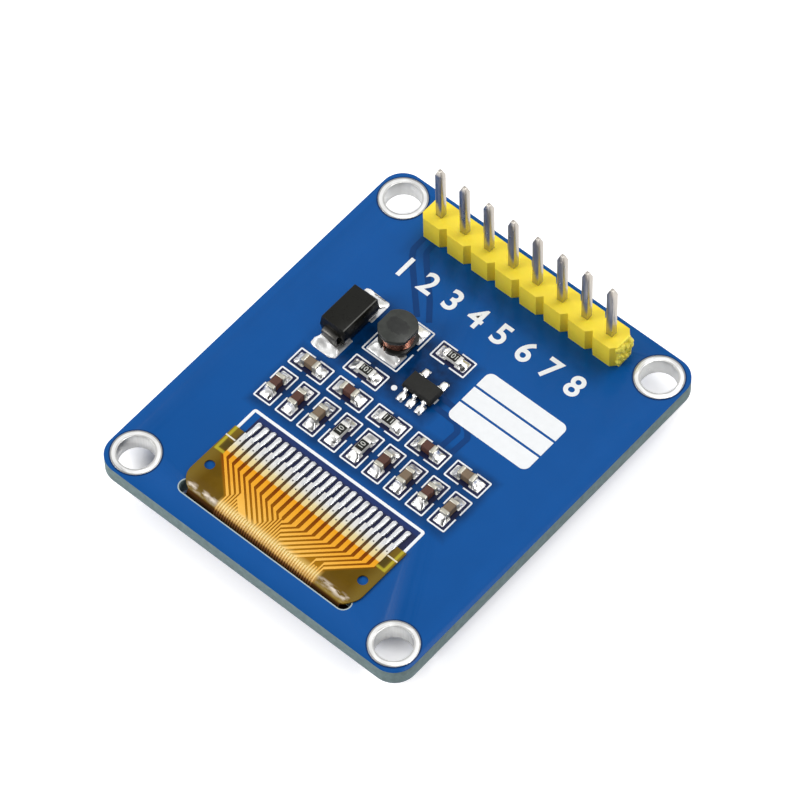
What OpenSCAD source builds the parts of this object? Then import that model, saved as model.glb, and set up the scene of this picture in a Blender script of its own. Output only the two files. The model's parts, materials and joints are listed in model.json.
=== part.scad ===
// Small OLED display module. A blue circuit board carries an eight-pin header, a step-up converter
// with its inductor and diode, and rows of chip parts on one face. A display panel is taped to the
// other face, and its flex cable folds through a slot to 23 soldered pads on the component face.
//
// Origin: centre of the four mounting holes, on the component face. +X runs along the header from
// pin 1, +Y points to the header and +Z stands out of the component face. Millimetres.

/* [Circuit board] */
// Board width
board_w = 31.7; // [31.4:0.1:38]
// Board length
board_l = 36.9; // [36.6:0.1:42]
// Board thickness
board_t = 1.6; // [1:0.1:2]
// Board corner radius
board_corner_r = 2; // [0.5:0.1:3]
// Distance from a mounting hole's centre to the board's two edges
hole_inset = 2.4; // [2.2:0.05:2.7]
// Finished bore of a mounting hole
hole_d = 3.1; // [2.2:0.1:3.2]
// Width of the plated ring round a mounting hole
hole_ring_w = 0.53; // [0.3:0.01:0.6]
// Thickness of the plating
plating_t = 0.05; // [0.03:0.01:0.1]
// Thickness of a solder pad
pad_t = 0.05; // [0.03:0.01:0.08]
// Thickness of the white legend ink
silk_t = 0.03; // [0.01:0.01:0.03]
// Width of a legend line
silk_line = 0.13; // [0.1:0.01:0.2]

/* [Header] */
// Number of pins
pin_count = 8; // [4:1:8]
// Pin pitch
pin_pitch = 2.54; // [2.4:0.01:2.6]
// Side of the square pin
pin_w = 0.64; // [0.5:0.01:0.7]
// Pin length above the housing
pin_above = 6; // [3:0.1:12]
// Pin length below the board
pin_stickout = 1.4; // [0.9:0.1:1.4]
// Length of a pin's tapered tip
pin_tip_l = 0.55; // [0.2:0.05:0.8]
// Side of a pin's flat end
pin_tip_w = 0.3; // [0.15:0.05:0.4]
// Width of the housing
housing_w = 2.5; // [2.3:0.1:2.9]
// Height of the housing
housing_h = 2.54; // [2:0.02:3]
// Width of the break notch between two pins
notch_w = 0.84; // [0.4:0.02:1]
// Depth of the break notch
notch_d = 0.46; // [0.3:0.02:0.8]
// How far the torn web stands out where the strip was snapped off
snap_l = 0.2; // [0.1:0.01:0.25]
// Number of ridges across the torn end
snap_ridges = 7; // [3:1:9]
// Number of ridges up the torn end
snap_layers = 5; // [3:1:6]
// Distance from the pin row to the board's edge
header_inset = 2.92; // [2.4:0.02:3.4]
// Bore of a pin's hole in the board
pin_hole_d = 1.02; // [1:0.02:1.2]
// Diameter of the solder joint on the display side
joint_d = 1.75; // [1.4:0.05:2]
// Height of the solder joint
joint_h = 0.85; // [0.4:0.05:0.85]

/* [Chip parts] */
// Length of a chip part
chip_l = 1.6; // [1.5:0.02:1.8]
// Width of a chip part
chip_w = 0.8; // [0.7:0.02:0.95]
// Height of a chip capacitor
cap_h = 0.8; // [0.5:0.05:1]
// Length of a capacitor's end cap
cap_end_l = 0.34; // [0.2:0.02:0.4]
// Height of a chip resistor
res_h = 0.45; // [0.35:0.05:0.55]
// Length of a resistor's end cap
res_end_l = 0.3; // [0.2:0.02:0.34]
// Thickness of an end cap's metal
end_t = 0.03; // [0.02:0.01:0.05]
// Distance between the outer ends of a part's two pads
land_span = 2.9; // [2.7:0.05:3]
// Length of one pad
land_l = 1; // [0.8:0.05:1.1]
// Width of one pad
land_w = 1.05; // [1:0.05:1.2]
// Length of the legend bracket round a part
bracket_l = 3.55; // [3.5:0.01:3.7]
// Width of the legend bracket round a part
bracket_w = 1.81; // [1.7:0.01:1.9]
// Gap in the middle of a bracket's long side
bracket_gap = 0.5; // [0.3:0.05:0.8]
// First part of the upper row, across the board
upper_row_x = -8.33; // [-8.6:0.01:-8.2]
// Distance from the slot to the upper row
upper_row_reach = 14.07; // [14:0.01:14.2]
// Spacing of the upper row
upper_pitch = 4.1; // [4:0.01:4.2]
// First part of the lower row, across the board
lower_row_x = -9.22; // [-9.5:0.01:-9]
// Distance from the slot to the lower row
lower_row_reach = 10.88; // [10.8:0.01:11]
// Spacing of the lower row
lower_pitch = 2.27; // [2.2:0.01:2.35]
// Feedback resistor, across the board
feedback_x = -4.61; // [-4.7:0.01:-4.5]
// Distance from the slot to the feedback resistor
feedback_reach = 16.46; // [16.4:0.01:16.5]
// Pull-up resistor, across the board
pull_up_x = -0.125; // [-0.2:0.005:0]
// Distance from the slot to the pull-up resistor
pull_up_reach = 21.89; // [21.8:0.01:22]

/* [Step-up converter] */
// Centre of the converter, across the board
conv_x = 0.05; // [-0.2:0.01:0.3]
// Distance from the slot to the converter's centre
conv_reach = 17.95; // [17.8:0.01:18.05]
// Length of the converter's body
conv_l = 3; // [2.6:0.05:3.1]
// Width of the converter's body
conv_w = 1.7; // [1.4:0.05:1.75]
// Height of the converter's body
conv_h = 0.85; // [0.7:0.05:1.1]
// Pitch of the converter's leads
conv_pitch = 0.95; // [0.85:0.01:1]
// Distance across the converter's lead tips
conv_span = 2.8; // [2.7:0.05:3]
// Width of a converter lead
conv_lead_w = 0.4; // [0.3:0.02:0.5]
// Thickness of a converter lead
conv_lead_t = 0.14; // [0.1:0.01:0.16]
// Length of a converter pad
conv_land_l = 1; // [0.8:0.05:1.1]
// Width of a converter pad
conv_land_w = 0.6; // [0.5:0.02:0.7]
// Distance across the outer ends of the converter's pads
conv_land_span = 3.75; // [3.6:0.05:3.8]

/* [Diode] */
// Centre of the diode, across the board
diode_x = -8.57; // [-8.8:0.01:-8.5]
// Distance from the slot to the diode's centre
diode_reach = 19.16; // [19:0.01:19.3]
// How far the diode was soldered off the middle of its pads
diode_shift = -0.1; // [-0.15:0.01:0.1]
// Length of the diode's body
diode_l = 4.3; // [4:0.05:4.6]
// Width of the diode's body
diode_w = 2.6; // [2.3:0.05:2.8]
// Height of the diode's body
diode_h = 2; // [1.7:0.05:2.3]
// Distance across the diode's leads
diode_span = 5.2; // [5:0.05:5.4]
// Width of a diode lead
diode_lead_w = 1.5; // [1.2:0.05:1.8]
// Thickness of a diode lead
diode_lead_t = 0.2; // [0.15:0.01:0.25]
// Length of the lead's foot under the body
diode_foot_l = 1.2; // [0.8:0.05:1.4]
// Distance across the outer ends of the diode's pads
diode_land_span = 6.67; // [6.4:0.01:6.8]
// Length of a diode pad
diode_land_l = 2.2; // [2:0.05:2.4]
// Width of a diode pad
diode_land_w = 2.42; // [2.2:0.01:2.5]

/* [Inductor] */
// Centre of the inductor, across the board
coil_x = -4.62; // [-4.7:0.01:-4.5]
// Distance from the slot to the inductor's centre
coil_reach = 20.4; // [20.3:0.01:20.5]
// Diameter of the core's flanges
core_d = 3.3; // [3.2:0.05:3.5]
// Width across the flats of the flanges
core_w = 2.9; // [2.85:0.05:3.1]
// Height of the core
core_h = 2; // [1.8:0.05:2.4]
// Thickness of a flange
flange_t = 0.42; // [0.35:0.01:0.5]
// Diameter of the core's post
post_d = 1.5; // [1.2:0.05:1.8]
// Diameter of the winding
winding_d = 2.8; // [2.4:0.05:2.8]
// Diameter of the winding's wire
wire_d = 0.2; // [0.14:0.01:0.24]
// Thickness of the core's terminals
terminal_t = 0.1; // [0.06:0.01:0.15]
// Distance across the outer ends of the inductor's pads
coil_land_span = 4.44; // [4.3:0.02:4.5]
// Length of an inductor pad
coil_land_l = 1.55; // [1.3:0.05:1.6]
// Width of an inductor pad
coil_land_w = 3.05; // [2.9:0.05:3.1]
// Width of the legend frame round the inductor
coil_frame_w = 3.7; // [3.65:0.01:3.75]
// Length of the legend frame round the inductor
coil_frame_l = 4.83; // [4.8:0.01:4.9]

/* [Flex cable] */
// Number of contacts
contact_count = 23; // [21:1:25]
// Contact pitch
contact_pitch = 0.7055; // [0.68:0.0005:0.71]
// Centre of the contacts on the board
contact_x = -0.02; // [-0.1:0.01:0.1]
// Width of a contact pad on the board
contact_land_w = 0.36; // [0.3:0.01:0.42]
// Distance from the slot to the far end of the contact pads
contact_land_reach = 7.45; // [7.3:0.01:7.5]
// Length of the contact pads
contact_land_l = 3.4; // [2.5:0.1:3.6]
// Centre of the cable, across the board
flex_x = -0.14; // [-0.2:0.01:0.05]
// Turn of the cable as it was laid
flex_turn = -0.7; // [-0.8:0.05:0.5]
// Width of the cable on the component face
flex_w = 18.1; // [17.8:0.05:18.4]
// Distance from the slot to the cable's soldered end
flex_reach = 5.85; // [5.5:0.05:6.1]
// How far the cable's shoulders hang over the slot
flex_overhang = 0.85; // [0.7:0.01:0.9]
// Corner radius of the shoulder
flex_shoulder_r = 1.6; // [1.5:0.05:2]
// Width of the cable where it passes through the slot
flex_neck_w = 16; // [15:0.1:16.2]
// Thickness of the cable's film
film_t = 0.12; // [0.08:0.01:0.15]
// Thickness of the cable's copper
trace_t = 0.03; // [0.02:0.01:0.05]
// Radius of the cable's folds
fold_r = 1; // [0.8:0.05:1.1]
// Distance from a locating hole's centre to the cable's side
locator_inset = 0.975; // [0.9:0.005:1.1]
// Distance from the slot to the locating holes
locator_reach = 1.83; // [1.5:0.01:2.5]
// Diameter of a locating hole
locator_d = 0.88; // [0.6:0.02:1]
// Width of a contact on the cable
contact_w = 0.43; // [0.4:0.01:0.46]
// Length of a bare contact on the cable
contact_l = 1.95; // [1.5:0.05:2.1]
// Width of a trace where the cover film begins
trace_w = 0.39; // [0.34:0.01:0.4]
// Width of a slanted trace
slant_w = 0.22; // [0.18:0.01:0.26]
// How steeply the slanted traces run, as their rise over their run
slant_rise = 0.965; // [0.95:0.005:1]
// Width of a fine trace
fine_w = 0.12; // [0.09:0.01:0.14]
// Pitch of the fine traces
fine_pitch = 0.241; // [0.235:0.001:0.245]
// Number of fine traces over the fold
fine_count = 43; // [41:2:45]
// Distance from the slot to the outermost contact's turn
jog_reach = 3.27; // [3.2:0.01:3.4]
// Step of that turn from one contact to the next
jog_step = 0.127; // [0.11:0.001:0.14]
// Width of the board's slot
slot_w = 17.6; // [17.3:0.1:17.8]
// Distance from the board's lower edge to the slot's upper edge
slot_inset = 3.35; // [3.25:0.01:3.45]
// Gap between the fold's centre and the slot's upper edge
fold_gap = 0.05; // [0:0.01:0.1]
// Gap between the folded cable and the slot's lower edge
flex_clear = 0.25; // [0.2:0.01:0.35]
// Width of the legend frame round the contacts
flex_frame_w = 17.86; // [17.7:0.01:18]
// Distance from the slot to that frame's far side
flex_frame_far = 8.23; // [8.15:0.01:8.3]
// Distance from the slot to that frame's near side
flex_frame_near = 3.35; // [3.1:0.01:3.5]
// Line width of that frame
flex_frame_line = 0.26; // [0.15:0.01:0.3]

/* [Display panel] */
// Width of the panel
panel_w = 25.7; // [24:0.1:27]
// Length of the panel with its contact ledge
panel_l = 22.2; // [21:0.1:24]
// Distance from the slot to the panel's lower edge
panel_reach = 1.5; // [1.3:0.1:1.9]
// Thickness of the front glass
glass_t = 0.6; // [0.4:0.05:0.8]
// Thickness of the rear glass
cover_t = 0.5; // [0.4:0.05:0.7]
// Length of the contact ledge that the rear glass leaves free
ledge_l = 2.8; // [2.6:0.05:3.4]
// Thickness of the polarising film
polariser_t = 0.2; // [0.15:0.01:0.3]
// Margin of the polarising film inside the glass
polariser_margin = 0.3; // [0.1:0.05:0.6]
// Thickness of the foam tape
tape_t = 0.4; // [0.35:0.05:0.8]
// Margin of the foam tape inside the rear glass
tape_margin = 0.8; // [0.3:0.1:3]
// Length of the driver chip
driver_l = 12.6; // [9:0.1:14]
// Width of the driver chip
driver_w = 1.2; // [0.8:0.05:1.2]
// Thickness of the driver chip
driver_t = 0.35; // [0.25:0.05:0.4]
// Length of the bond between cable and glass
bond_l = 0.8; // [0.6:0.05:1]

/* [Legend] */
// Width of the blank write-on block
block_w = 8.2; // [6:0.1:9]
// Length of the blank write-on block
block_l = 5.4; // [3:0.1:7]
// Centre of the write-on block, across the board
block_x = 6.95; // [6.6:0.05:8]
// Distance from the slot to the write-on block's centre
block_reach = 20.2; // [19.7:0.05:20.7]
// Corner radius of the write-on block
block_r = 0.6; // [0.2:0.05:1.2]
// Number of rows in the write-on block
block_rows = 3; // [1:1:5]
// Gap between two rows
block_gap = 0.22; // [0.15:0.01:0.3]

/* [Hidden] */
$fn = 48;
mask_blue = [0.06, 0.29, 0.58];
tin = [0.86, 0.86, 0.84];
ink = [0.96, 0.97, 0.98];
header_yellow = [0.97, 0.86, 0.2];
ceramic_brown = [0.45, 0.3, 0.2];
ceramic_tan = [0.74, 0.6, 0.42];
moulding_black = [0.14, 0.14, 0.14];
ferrite = [0.33, 0.34, 0.33];
copper = [0.85, 0.5, 0.2];
film_amber = [0.5, 0.36, 0.12];
overlap = 0.01;

header_y = board_l / 2 - header_inset;
slot_edge_y = slot_inset - board_l / 2;
upper_row_y = slot_edge_y + upper_row_reach;
lower_row_y = slot_edge_y + lower_row_reach;
feedback_y = slot_edge_y + feedback_reach;
pull_up_y = slot_edge_y + pull_up_reach;
conv_y = slot_edge_y + conv_reach;
diode_y = slot_edge_y + diode_reach;
coil_y = slot_edge_y + coil_reach;
block_y = slot_edge_y + block_reach;
below = -board_t;
hole_pitch_x = board_w - 2 * hole_inset;
hole_pitch_y = board_l - 2 * hole_inset;
tear_swing = 77;
joint_neck_r = 0.46;
land_r = 0.1;
dot_spot = [-2, -1.15];
dot_r = 0.25;
dash_offset = 1.38;
dash_w = 0.2;
dash_l = 0.55;
hole_spots = [for (x = [-1, 1], y = [-1, 1]) [x * hole_pitch_x / 2, y * hole_pitch_y / 2]];

upper_caps = [0, 1, 3, 4];
lower_caps = [0, 1, 2, 5, 6, 7, 8];
lower_resistors = [3, 4];
cap_spots = concat(
    [for (k = upper_caps) [upper_row_x + k * upper_pitch, upper_row_y, 0]],
    [for (k = lower_caps) [lower_row_x + k * lower_pitch, lower_row_y, 90]]);
cap_is_tan = [true, false, false, true, false, false, true, false, true, false, true];
res_spots = concat(
    [[upper_row_x + 2 * upper_pitch, upper_row_y, 0]],
    [for (k = lower_resistors) [lower_row_x + k * lower_pitch, lower_row_y, 90]],
    [[feedback_x, feedback_y, 0], [pull_up_x, pull_up_y, 0]]);
chip_spots = concat(cap_spots, res_spots);
cap_edge_r = 0.09;
glaze_margin = 0.03;
fillet_foot = 0.04;
fillet_spread = 0.06;
cap_climb = 0.62;
res_climb = 0.85;

conv_lead_spots = [[-1, -1], [0, -1], [1, -1], [-1, 1], [1, 1]];
conv_gap = 0.05;
conv_standoff = pad_t + conv_gap;
heel_run = 0.16;
lead_seat = 0.2;
mould_draft = 0.12;
sweep_steps = 6;
diode_gap = 0.02;
diode_standoff = pad_t + diode_lead_t + diode_gap;
core_z = pad_t + terminal_t;
terminal_reach = 0.9;
wire_groove_w = 0.5;
wire_exit = -0.25;
turns = floor((core_h - 2 * flange_t) / wire_d);

panel_low_y = slot_edge_y + panel_reach;
panel_top_y = panel_low_y + panel_l;
tape_z = below - tape_t;
cover_z = tape_z - cover_t;
glass_z = cover_z - glass_t;
polariser_z = glass_z - polariser_t;
ledge_y = panel_low_y + ledge_l;
driver_gap = 0.35;
driver_y = panel_low_y + bond_l + driver_gap;

contact_mid = (contact_count - 1) / 2;
contact_land_y = slot_edge_y + contact_land_reach;
flex_end_y = slot_edge_y + flex_reach;
flex_shoulder_y = slot_edge_y - flex_overhang;
flex_frame_top_y = slot_edge_y + flex_frame_far;
flex_frame_low_y = slot_edge_y + flex_frame_near;
locator_y = slot_edge_y + locator_reach;
locator_pitch = flex_w - 2 * locator_inset;
jog_y = slot_edge_y + jog_reach;
film_top_z = pad_t + film_t;
fold_y = slot_edge_y - fold_gap;
upper_fold_z = film_top_z - fold_r;
lower_fold_z = cover_z + fold_r;
slot_l = fold_gap + fold_r + flex_clear;
fine_axis = floor((fine_count - 1) / 2) - 1.5;
cover_end_y = flex_end_y - contact_l;
pour_contact = 3;
pour_line = 3;
pour_w = 0.5;
edge_gap = 2;
edge_lines = 5;
edge_lines_l = 0.45;
trace_overrun = 9;
trace_end_y = fold_y - trace_overrun;
trace_setback = 0.1;
bar_l = 1;
bar_w = 0.13;
bar_inset = 1.08;

// Shapes that several parts share

module rounded_rect(w, l, r) {
    square([w - 2 * r, l], center = true);
    square([w, l - 2 * r], center = true);
    for (x = [-1, 1], y = [-1, 1]) translate([x * (w / 2 - r), y * (l / 2 - r)]) circle(r);
}

module along_x(length) rotate([90, 0, 90]) linear_extrude(length, center = true) children();

module along_y(length) rotate([90, 0, 0]) linear_extrude(length, center = true) children();

module seated(spot) translate([spot[0], spot[1], 0]) rotate(spot[2]) children();

// Points of a round stretch about a centre, from one angle to another
function sweep(centre, r, from, to) = [for (i = [0:sweep_steps])
    let (angle = from + (to - from) * i / sweep_steps) centre + r * [cos(angle), sin(angle)]];

// Half of a moulded block's outline: widest at mid height, drawn in towards top and bottom
module mould_profile(w, h) polygon([
    [-w / 2, h / 2], [-w / 2 + mould_draft, h], [w / 2 - mould_draft, h],
    [w / 2, h / 2], [w / 2 - mould_draft, 0], [-w / 2 + mould_draft, 0]]);

module moulded_block(l, w, h) intersection() {
    along_y(2 * w) mould_profile(l, h);
    along_x(2 * l) mould_profile(w, h);
}

// A legend frame with a gap in the middle of its two sides that run along X
module open_frame(l, w) linear_extrude(silk_t) difference() {
    rounded_rect(l, w, silk_line);
    square([l - 2 * silk_line, w - 2 * silk_line], center = true);
    square([bracket_gap, 2 * w], center = true);
}

// Circuit board

module drill(d) translate([0, 0, -board_t / 2]) cylinder(h = 2 * board_t, d = d);

module circuit_board() color(mask_blue) translate([0, 0, below]) difference() {
    linear_extrude(board_t) difference() {
        rounded_rect(board_w, board_l, board_corner_r);
        translate([flex_x, slot_edge_y - slot_l / 2]) rounded_rect(slot_w, slot_l, slot_l / 2 - overlap);
    }
    for (s = hole_spots) translate([s[0], s[1], 0]) drill(hole_d + 2 * plating_t);
    for (i = [1:pin_count]) translate([pin_x(i), header_y, 0]) drill(pin_hole_d);
}

// One plated eyelet: a barrel through the board with a flat ring on each face
module plated_eyelet() rotate_extrude() {
    translate([hole_d / 2, below - plating_t]) square([hole_ring_w, plating_t]);
    translate([hole_d / 2, below - plating_t]) square([plating_t, board_t + 2 * plating_t]);
    translate([hole_d / 2, 0]) square([hole_ring_w, plating_t]);
}

module mounting_hole_plating() color(tin) for (s = hole_spots) translate([s[0], s[1], 0]) plated_eyelet();

module land(l, w) linear_extrude(pad_t) rounded_rect(l, w, land_r);

// Two like pads at the ends of a part that lies along X
module land_pair(span, l, w) for (s = [-1, 1]) translate([s * (span - l) / 2, 0, 0]) land(l, w);

module contact_land() linear_extrude(pad_t) {
    translate([-contact_land_w / 2, -contact_land_l])
        square([contact_land_w, contact_land_l - contact_land_w / 2]);
    translate([0, -contact_land_w / 2]) circle(d = contact_land_w);
}

module solder_pads() color(tin) {
    for (s = chip_spots) seated(s) land_pair(land_span, land_l, land_w);
    seated([diode_x, diode_y, 90]) land_pair(diode_land_span, diode_land_l, diode_land_w);
    seated([coil_x, coil_y, 90]) land_pair(coil_land_span, coil_land_l, coil_land_w);
    for (s = conv_lead_spots)
        translate([conv_x + s[0] * conv_pitch, conv_y + s[1] * (conv_land_span - conv_land_l) / 2, 0])
            land(conv_land_w, conv_land_l);
    for (i = [0:contact_count - 1])
        translate([contact_x + (i - contact_mid) * contact_pitch, contact_land_y, 0]) contact_land();
}

module silkscreen() color(ink) {
    for (s = chip_spots) seated(s) open_frame(bracket_l, bracket_w);
    seated([coil_x, coil_y, 90]) open_frame(coil_frame_l, coil_frame_w);
    translate([conv_x + dot_spot[0], conv_y + dot_spot[1], 0]) cylinder(h = silk_t, r = dot_r);
    for (s = [-1, 1]) translate([conv_x + s * dash_offset, conv_y, 0])
        linear_extrude(silk_t) square([dash_w, dash_l], center = true);
    translate([flex_x, (flex_frame_top_y + flex_frame_low_y) / 2, 0]) contact_frame();
    translate([block_x, block_y, 0]) write_on_block();
}

// A blank block for a pen, parted into rows
module write_on_block() linear_extrude(silk_t) difference() {
    rounded_rect(block_w, block_l, block_r);
    for (k = [1:1:block_rows - 1]) translate([0, (k / block_rows - 0.5) * block_l])
        square([2 * block_w, block_gap], center = true);
}

// The closed frame round the cable's contacts
module contact_frame() linear_extrude(silk_t) difference() {
    frame_l = flex_frame_top_y - flex_frame_low_y;
    rounded_rect(flex_frame_w, frame_l, flex_frame_line);
    square([flex_frame_w - 2 * flex_frame_line, frame_l - 2 * flex_frame_line], center = true);
}

// Header

function pin_x(i) = (i - (pin_count + 1) / 2) * pin_pitch;

// Half of the housing's outline, from end to end along the notched side at -Y
housing_side = [for (i = [1:pin_count]) each concat(
    i == 1 ? [[pin_x(i) - pin_pitch / 2, notch_d - housing_w / 2]] : [],
    [[pin_x(i) - (pin_pitch - notch_w) / 2, -housing_w / 2],
     [pin_x(i) + (pin_pitch - notch_w) / 2, -housing_w / 2],
     [pin_x(i) + pin_pitch / 2, notch_d - housing_w / 2]])];

// The same points mirrored to +Y, in the opposite order
housing_far_side = [for (i = [len(housing_side) - 1:-1:0]) [housing_side[i][0], -housing_side[i][1]]];

// The web that tore where the strip was snapped off: layers whose ends stand out unevenly
module torn_web() {
    web_w = housing_w - 2 * notch_d;
    last = 2 * snap_ridges;
    layer_h = housing_h / snap_layers;
    for (j = [0:snap_layers - 1]) translate([pin_x(pin_count) + pin_pitch / 2, 0, j * layer_h])
        linear_extrude(layer_h) polygon(concat(
            [[-notch_d, -web_w / 2]],
            [for (k = [0:last]) [snap_l * (0.55 + 0.45 * sin(tear_swing * (k * last + j * j + 1))),
                (k / last - 0.5) * web_w]],
            [[-notch_d, web_w / 2]]));
}

module header_housing() color(header_yellow) translate([0, header_y, 0]) {
    linear_extrude(housing_h) difference() {
        polygon(concat(housing_side, housing_far_side));
        for (i = [1:pin_count]) translate([pin_x(i), 0]) square(pin_w, center = true);
    }
    torn_web();
}

// The pin's side view: square shank between two tapered ends
module pin_profile() {
    low = below - pin_stickout;
    high = housing_h + pin_above;
    polygon([
        [-pin_tip_w / 2, low], [pin_tip_w / 2, low],
        [pin_w / 2, low + pin_tip_l], [pin_w / 2, high - pin_tip_l],
        [pin_tip_w / 2, high], [-pin_tip_w / 2, high],
        [-pin_w / 2, high - pin_tip_l], [-pin_w / 2, low + pin_tip_l]]);
}

module header_pin(i) color(tin) translate([pin_x(i), header_y, 0]) intersection() {
    along_x(pin_w) pin_profile();
    along_y(pin_w) pin_profile();
}

// One solder joint: it fills the plated hole and rises round the pin in a hollow cone
module solder_joint() {
    cone_r = joint_h;
    difference() {
        rotate_extrude() {
            translate([0, below]) square([pin_hole_d / 2, board_t]);
            difference() {
                translate([0, below - joint_h]) square([joint_d / 2, joint_h]);
                translate([joint_neck_r + cone_r, below - cone_r - plating_t]) circle(cone_r);
            }
        }
        along_x(pin_w) pin_profile();
    }
}

module header_solder() color(tin) for (i = [1:pin_count]) translate([pin_x(i), header_y, 0]) solder_joint();

// Chip parts

module cap_ceramic() translate([0, 0, pad_t + cap_h / 2])
    along_x(chip_l - 2 * end_t) rounded_rect(chip_w - 2 * end_t, cap_h - 2 * end_t, cap_edge_r - end_t);

module capacitor(i) color(cap_is_tan[i - 1] ? ceramic_tan : ceramic_brown)
    seated(cap_spots[i - 1]) cap_ceramic();

module capacitor_terminals() color(tin) for (s = cap_spots) seated(s) difference() {
    for (e = [-1, 1]) translate([e * (chip_l - cap_end_l) / 2, 0, pad_t + cap_h / 2])
        along_x(cap_end_l) rounded_rect(chip_w, cap_h, cap_edge_r);
    cap_ceramic();
}

module res_ceramic() translate([0, 0, pad_t + res_h / 2])
    cube([chip_l - 2 * end_t, chip_w, res_h - 2 * end_t], center = true);

module resistor(i) color("whitesmoke") seated(res_spots[i - 1]) res_ceramic();

module resistor_glaze() color(moulding_black) for (s = res_spots) seated(s)
    translate([0, 0, pad_t + res_h - end_t]) linear_extrude(end_t)
        square([chip_l - 2 * (res_end_l + glaze_margin), chip_w - 2 * glaze_margin], center = true);

module resistor_terminals() color(tin) for (s = res_spots) seated(s) difference() {
    for (e = [-1, 1]) translate([e * (chip_l - res_end_l) / 2, 0, pad_t + res_h / 2])
        cube([res_end_l, chip_w, res_h], center = true);
    res_ceramic();
}

// A meniscus that runs out along +X from a wall of solder of height h
module fillet(l, w, h) {
    rise = h - fillet_foot;
    r = (l * l + rise * rise) / (2 * rise);
    along_y(w) difference() {
        square([l, h]);
        translate([l, r + fillet_foot]) circle(r, $fn = 96);
    }
}

module chip_fillets(h) for (e = [0, 180]) rotate(e) translate([chip_l / 2, 0, pad_t])
    fillet((land_span - chip_l) / 2, chip_w + 2 * fillet_spread, h);

module chip_solder() color(tin) {
    for (s = cap_spots) seated(s) chip_fillets(cap_climb * cap_h);
    for (s = res_spots) seated(s) chip_fillets(res_climb * res_h);
}

// Step-up converter

// Side view of a gull-wing lead that leaves the body along +X
module gull_wing() {
    t = conv_lead_t;
    r = 0.75 * t;
    mid = conv_standoff + conv_h / 2;
    heel = conv_w / 2 + heel_run;
    foot = pad_t + t / 2;
    polygon(concat(
        [[conv_w / 2 - lead_seat, mid + t / 2]],
        sweep([heel - r, mid - r], r + t / 2, 90, 0),
        sweep([heel + r, foot + r], r - t / 2, 180, 270),
        [[conv_span / 2, foot + t / 2], [conv_span / 2, foot - t / 2]],
        sweep([heel + r, foot + r], r + t / 2, 270, 180),
        sweep([heel - r, mid - r], r - t / 2, 0, 90),
        [[conv_w / 2 - lead_seat, mid - t / 2]]));
}

module converter_lead_shapes() translate([conv_x, conv_y, 0]) for (s = conv_lead_spots)
    translate([s[0] * conv_pitch, 0, 0]) rotate(s[1] * 90) along_y(conv_lead_w) gull_wing();

module converter_leads() color(tin) converter_lead_shapes();

module converter_body() color(moulding_black) difference() {
    translate([conv_x, conv_y, conv_standoff]) moulded_block(conv_l, conv_w, conv_h);
    converter_lead_shapes();
}

// Diode

// Side view of a lead that leaves the body along +X and folds back under it
module j_bend() {
    t = diode_lead_t;
    r = 0.8 * t;
    mid = diode_standoff + diode_h / 2;
    wall = diode_span / 2 - t / 2;
    foot = pad_t + t / 2;
    polygon(concat(
        [[diode_l / 2 - lead_seat, mid + t / 2]],
        sweep([wall - r, mid - r], r + t / 2, 90, 0),
        sweep([wall - r, foot + r], r + t / 2, 0, -90),
        [[diode_span / 2 - diode_foot_l, foot - t / 2], [diode_span / 2 - diode_foot_l, foot + t / 2]],
        sweep([wall - r, foot + r], r - t / 2, -90, 0),
        sweep([wall - r, mid - r], r - t / 2, 0, 90),
        [[diode_l / 2 - lead_seat, mid - t / 2]]));
}

module diode_lead_shapes() for (e = [90, 270]) seated([diode_x + diode_shift, diode_y, e])
    along_y(diode_lead_w) j_bend();

module diode_leads() color(tin) diode_lead_shapes();

module diode_body() color(moulding_black) difference() {
    seated([diode_x + diode_shift, diode_y, 90]) translate([0, 0, diode_standoff])
        moulded_block(diode_l, diode_w, diode_h);
    diode_lead_shapes();
}

// Inductor

module flange_outline() intersection() {
    circle(d = core_d, $fn = 96);
    square([core_w, 2 * core_d], center = true);
}

module inductor_core() color(ferrite) translate([coil_x, coil_y, core_z]) {
    linear_extrude(flange_t) difference() {
        flange_outline();
        for (s = [0, 180]) rotate(s)
            translate([-wire_exit - wire_groove_w / 2, winding_d / 2 - 1.5 * wire_d])
                square([wire_groove_w, core_d]);
    }
    cylinder(h = core_h, d = post_d);
    translate([0, 0, core_h - flange_t]) linear_extrude(flange_t) flange_outline();
}

// The wire's end, which drops through the flange's groove to its terminal
module wire_tail() {
    start = [wire_exit - 0.7 * wire_d, -(winding_d - wire_d) / 2, core_z + flange_t + wire_d];
    end = [wire_exit + 0.25 * wire_d, -core_d / 2 + wire_d, core_z + 0.25 * wire_d];
    run = end - start;
    translate(start) rotate([0, acos(run[2] / norm(run)), atan2(run[1], run[0])])
        cylinder(h = norm(run), d = wire_d, $fn = 24);
}

module inductor_winding() color(copper) translate([coil_x, coil_y, 0]) {
    rotate_extrude() {
        translate([post_d / 2, core_z + flange_t])
            square([(winding_d - post_d - wire_d) / 2, turns * wire_d]);
        for (i = [0:turns - 1])
            translate([(winding_d - wire_d) / 2, core_z + flange_t + (i + 0.5) * wire_d])
                circle(d = wire_d, $fn = 24);
    }
    for (a = [0, 180]) rotate(a) wire_tail();
}

module inductor_terminals() color(tin) translate([coil_x, coil_y, pad_t])
    linear_extrude(terminal_t) difference() {
        flange_outline();
        square([2 * core_w, 2 * terminal_reach], center = true);
    }

// Flex cable

module on_flex() translate([flex_x, locator_y, 0]) rotate(flex_turn) translate([0, -locator_y, 0]) children();

// A quarter of a ring between two radii, in the quadrant that the signs name
module quarter_ring(inner, outer, quadrant) intersection() {
    difference() {
        circle(outer, $fn = 96);
        circle(inner, $fn = 96);
    }
    translate([quadrant[0] < 0 ? -outer : 0, quadrant[1] < 0 ? -outer : 0]) square(outer);
}

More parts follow.
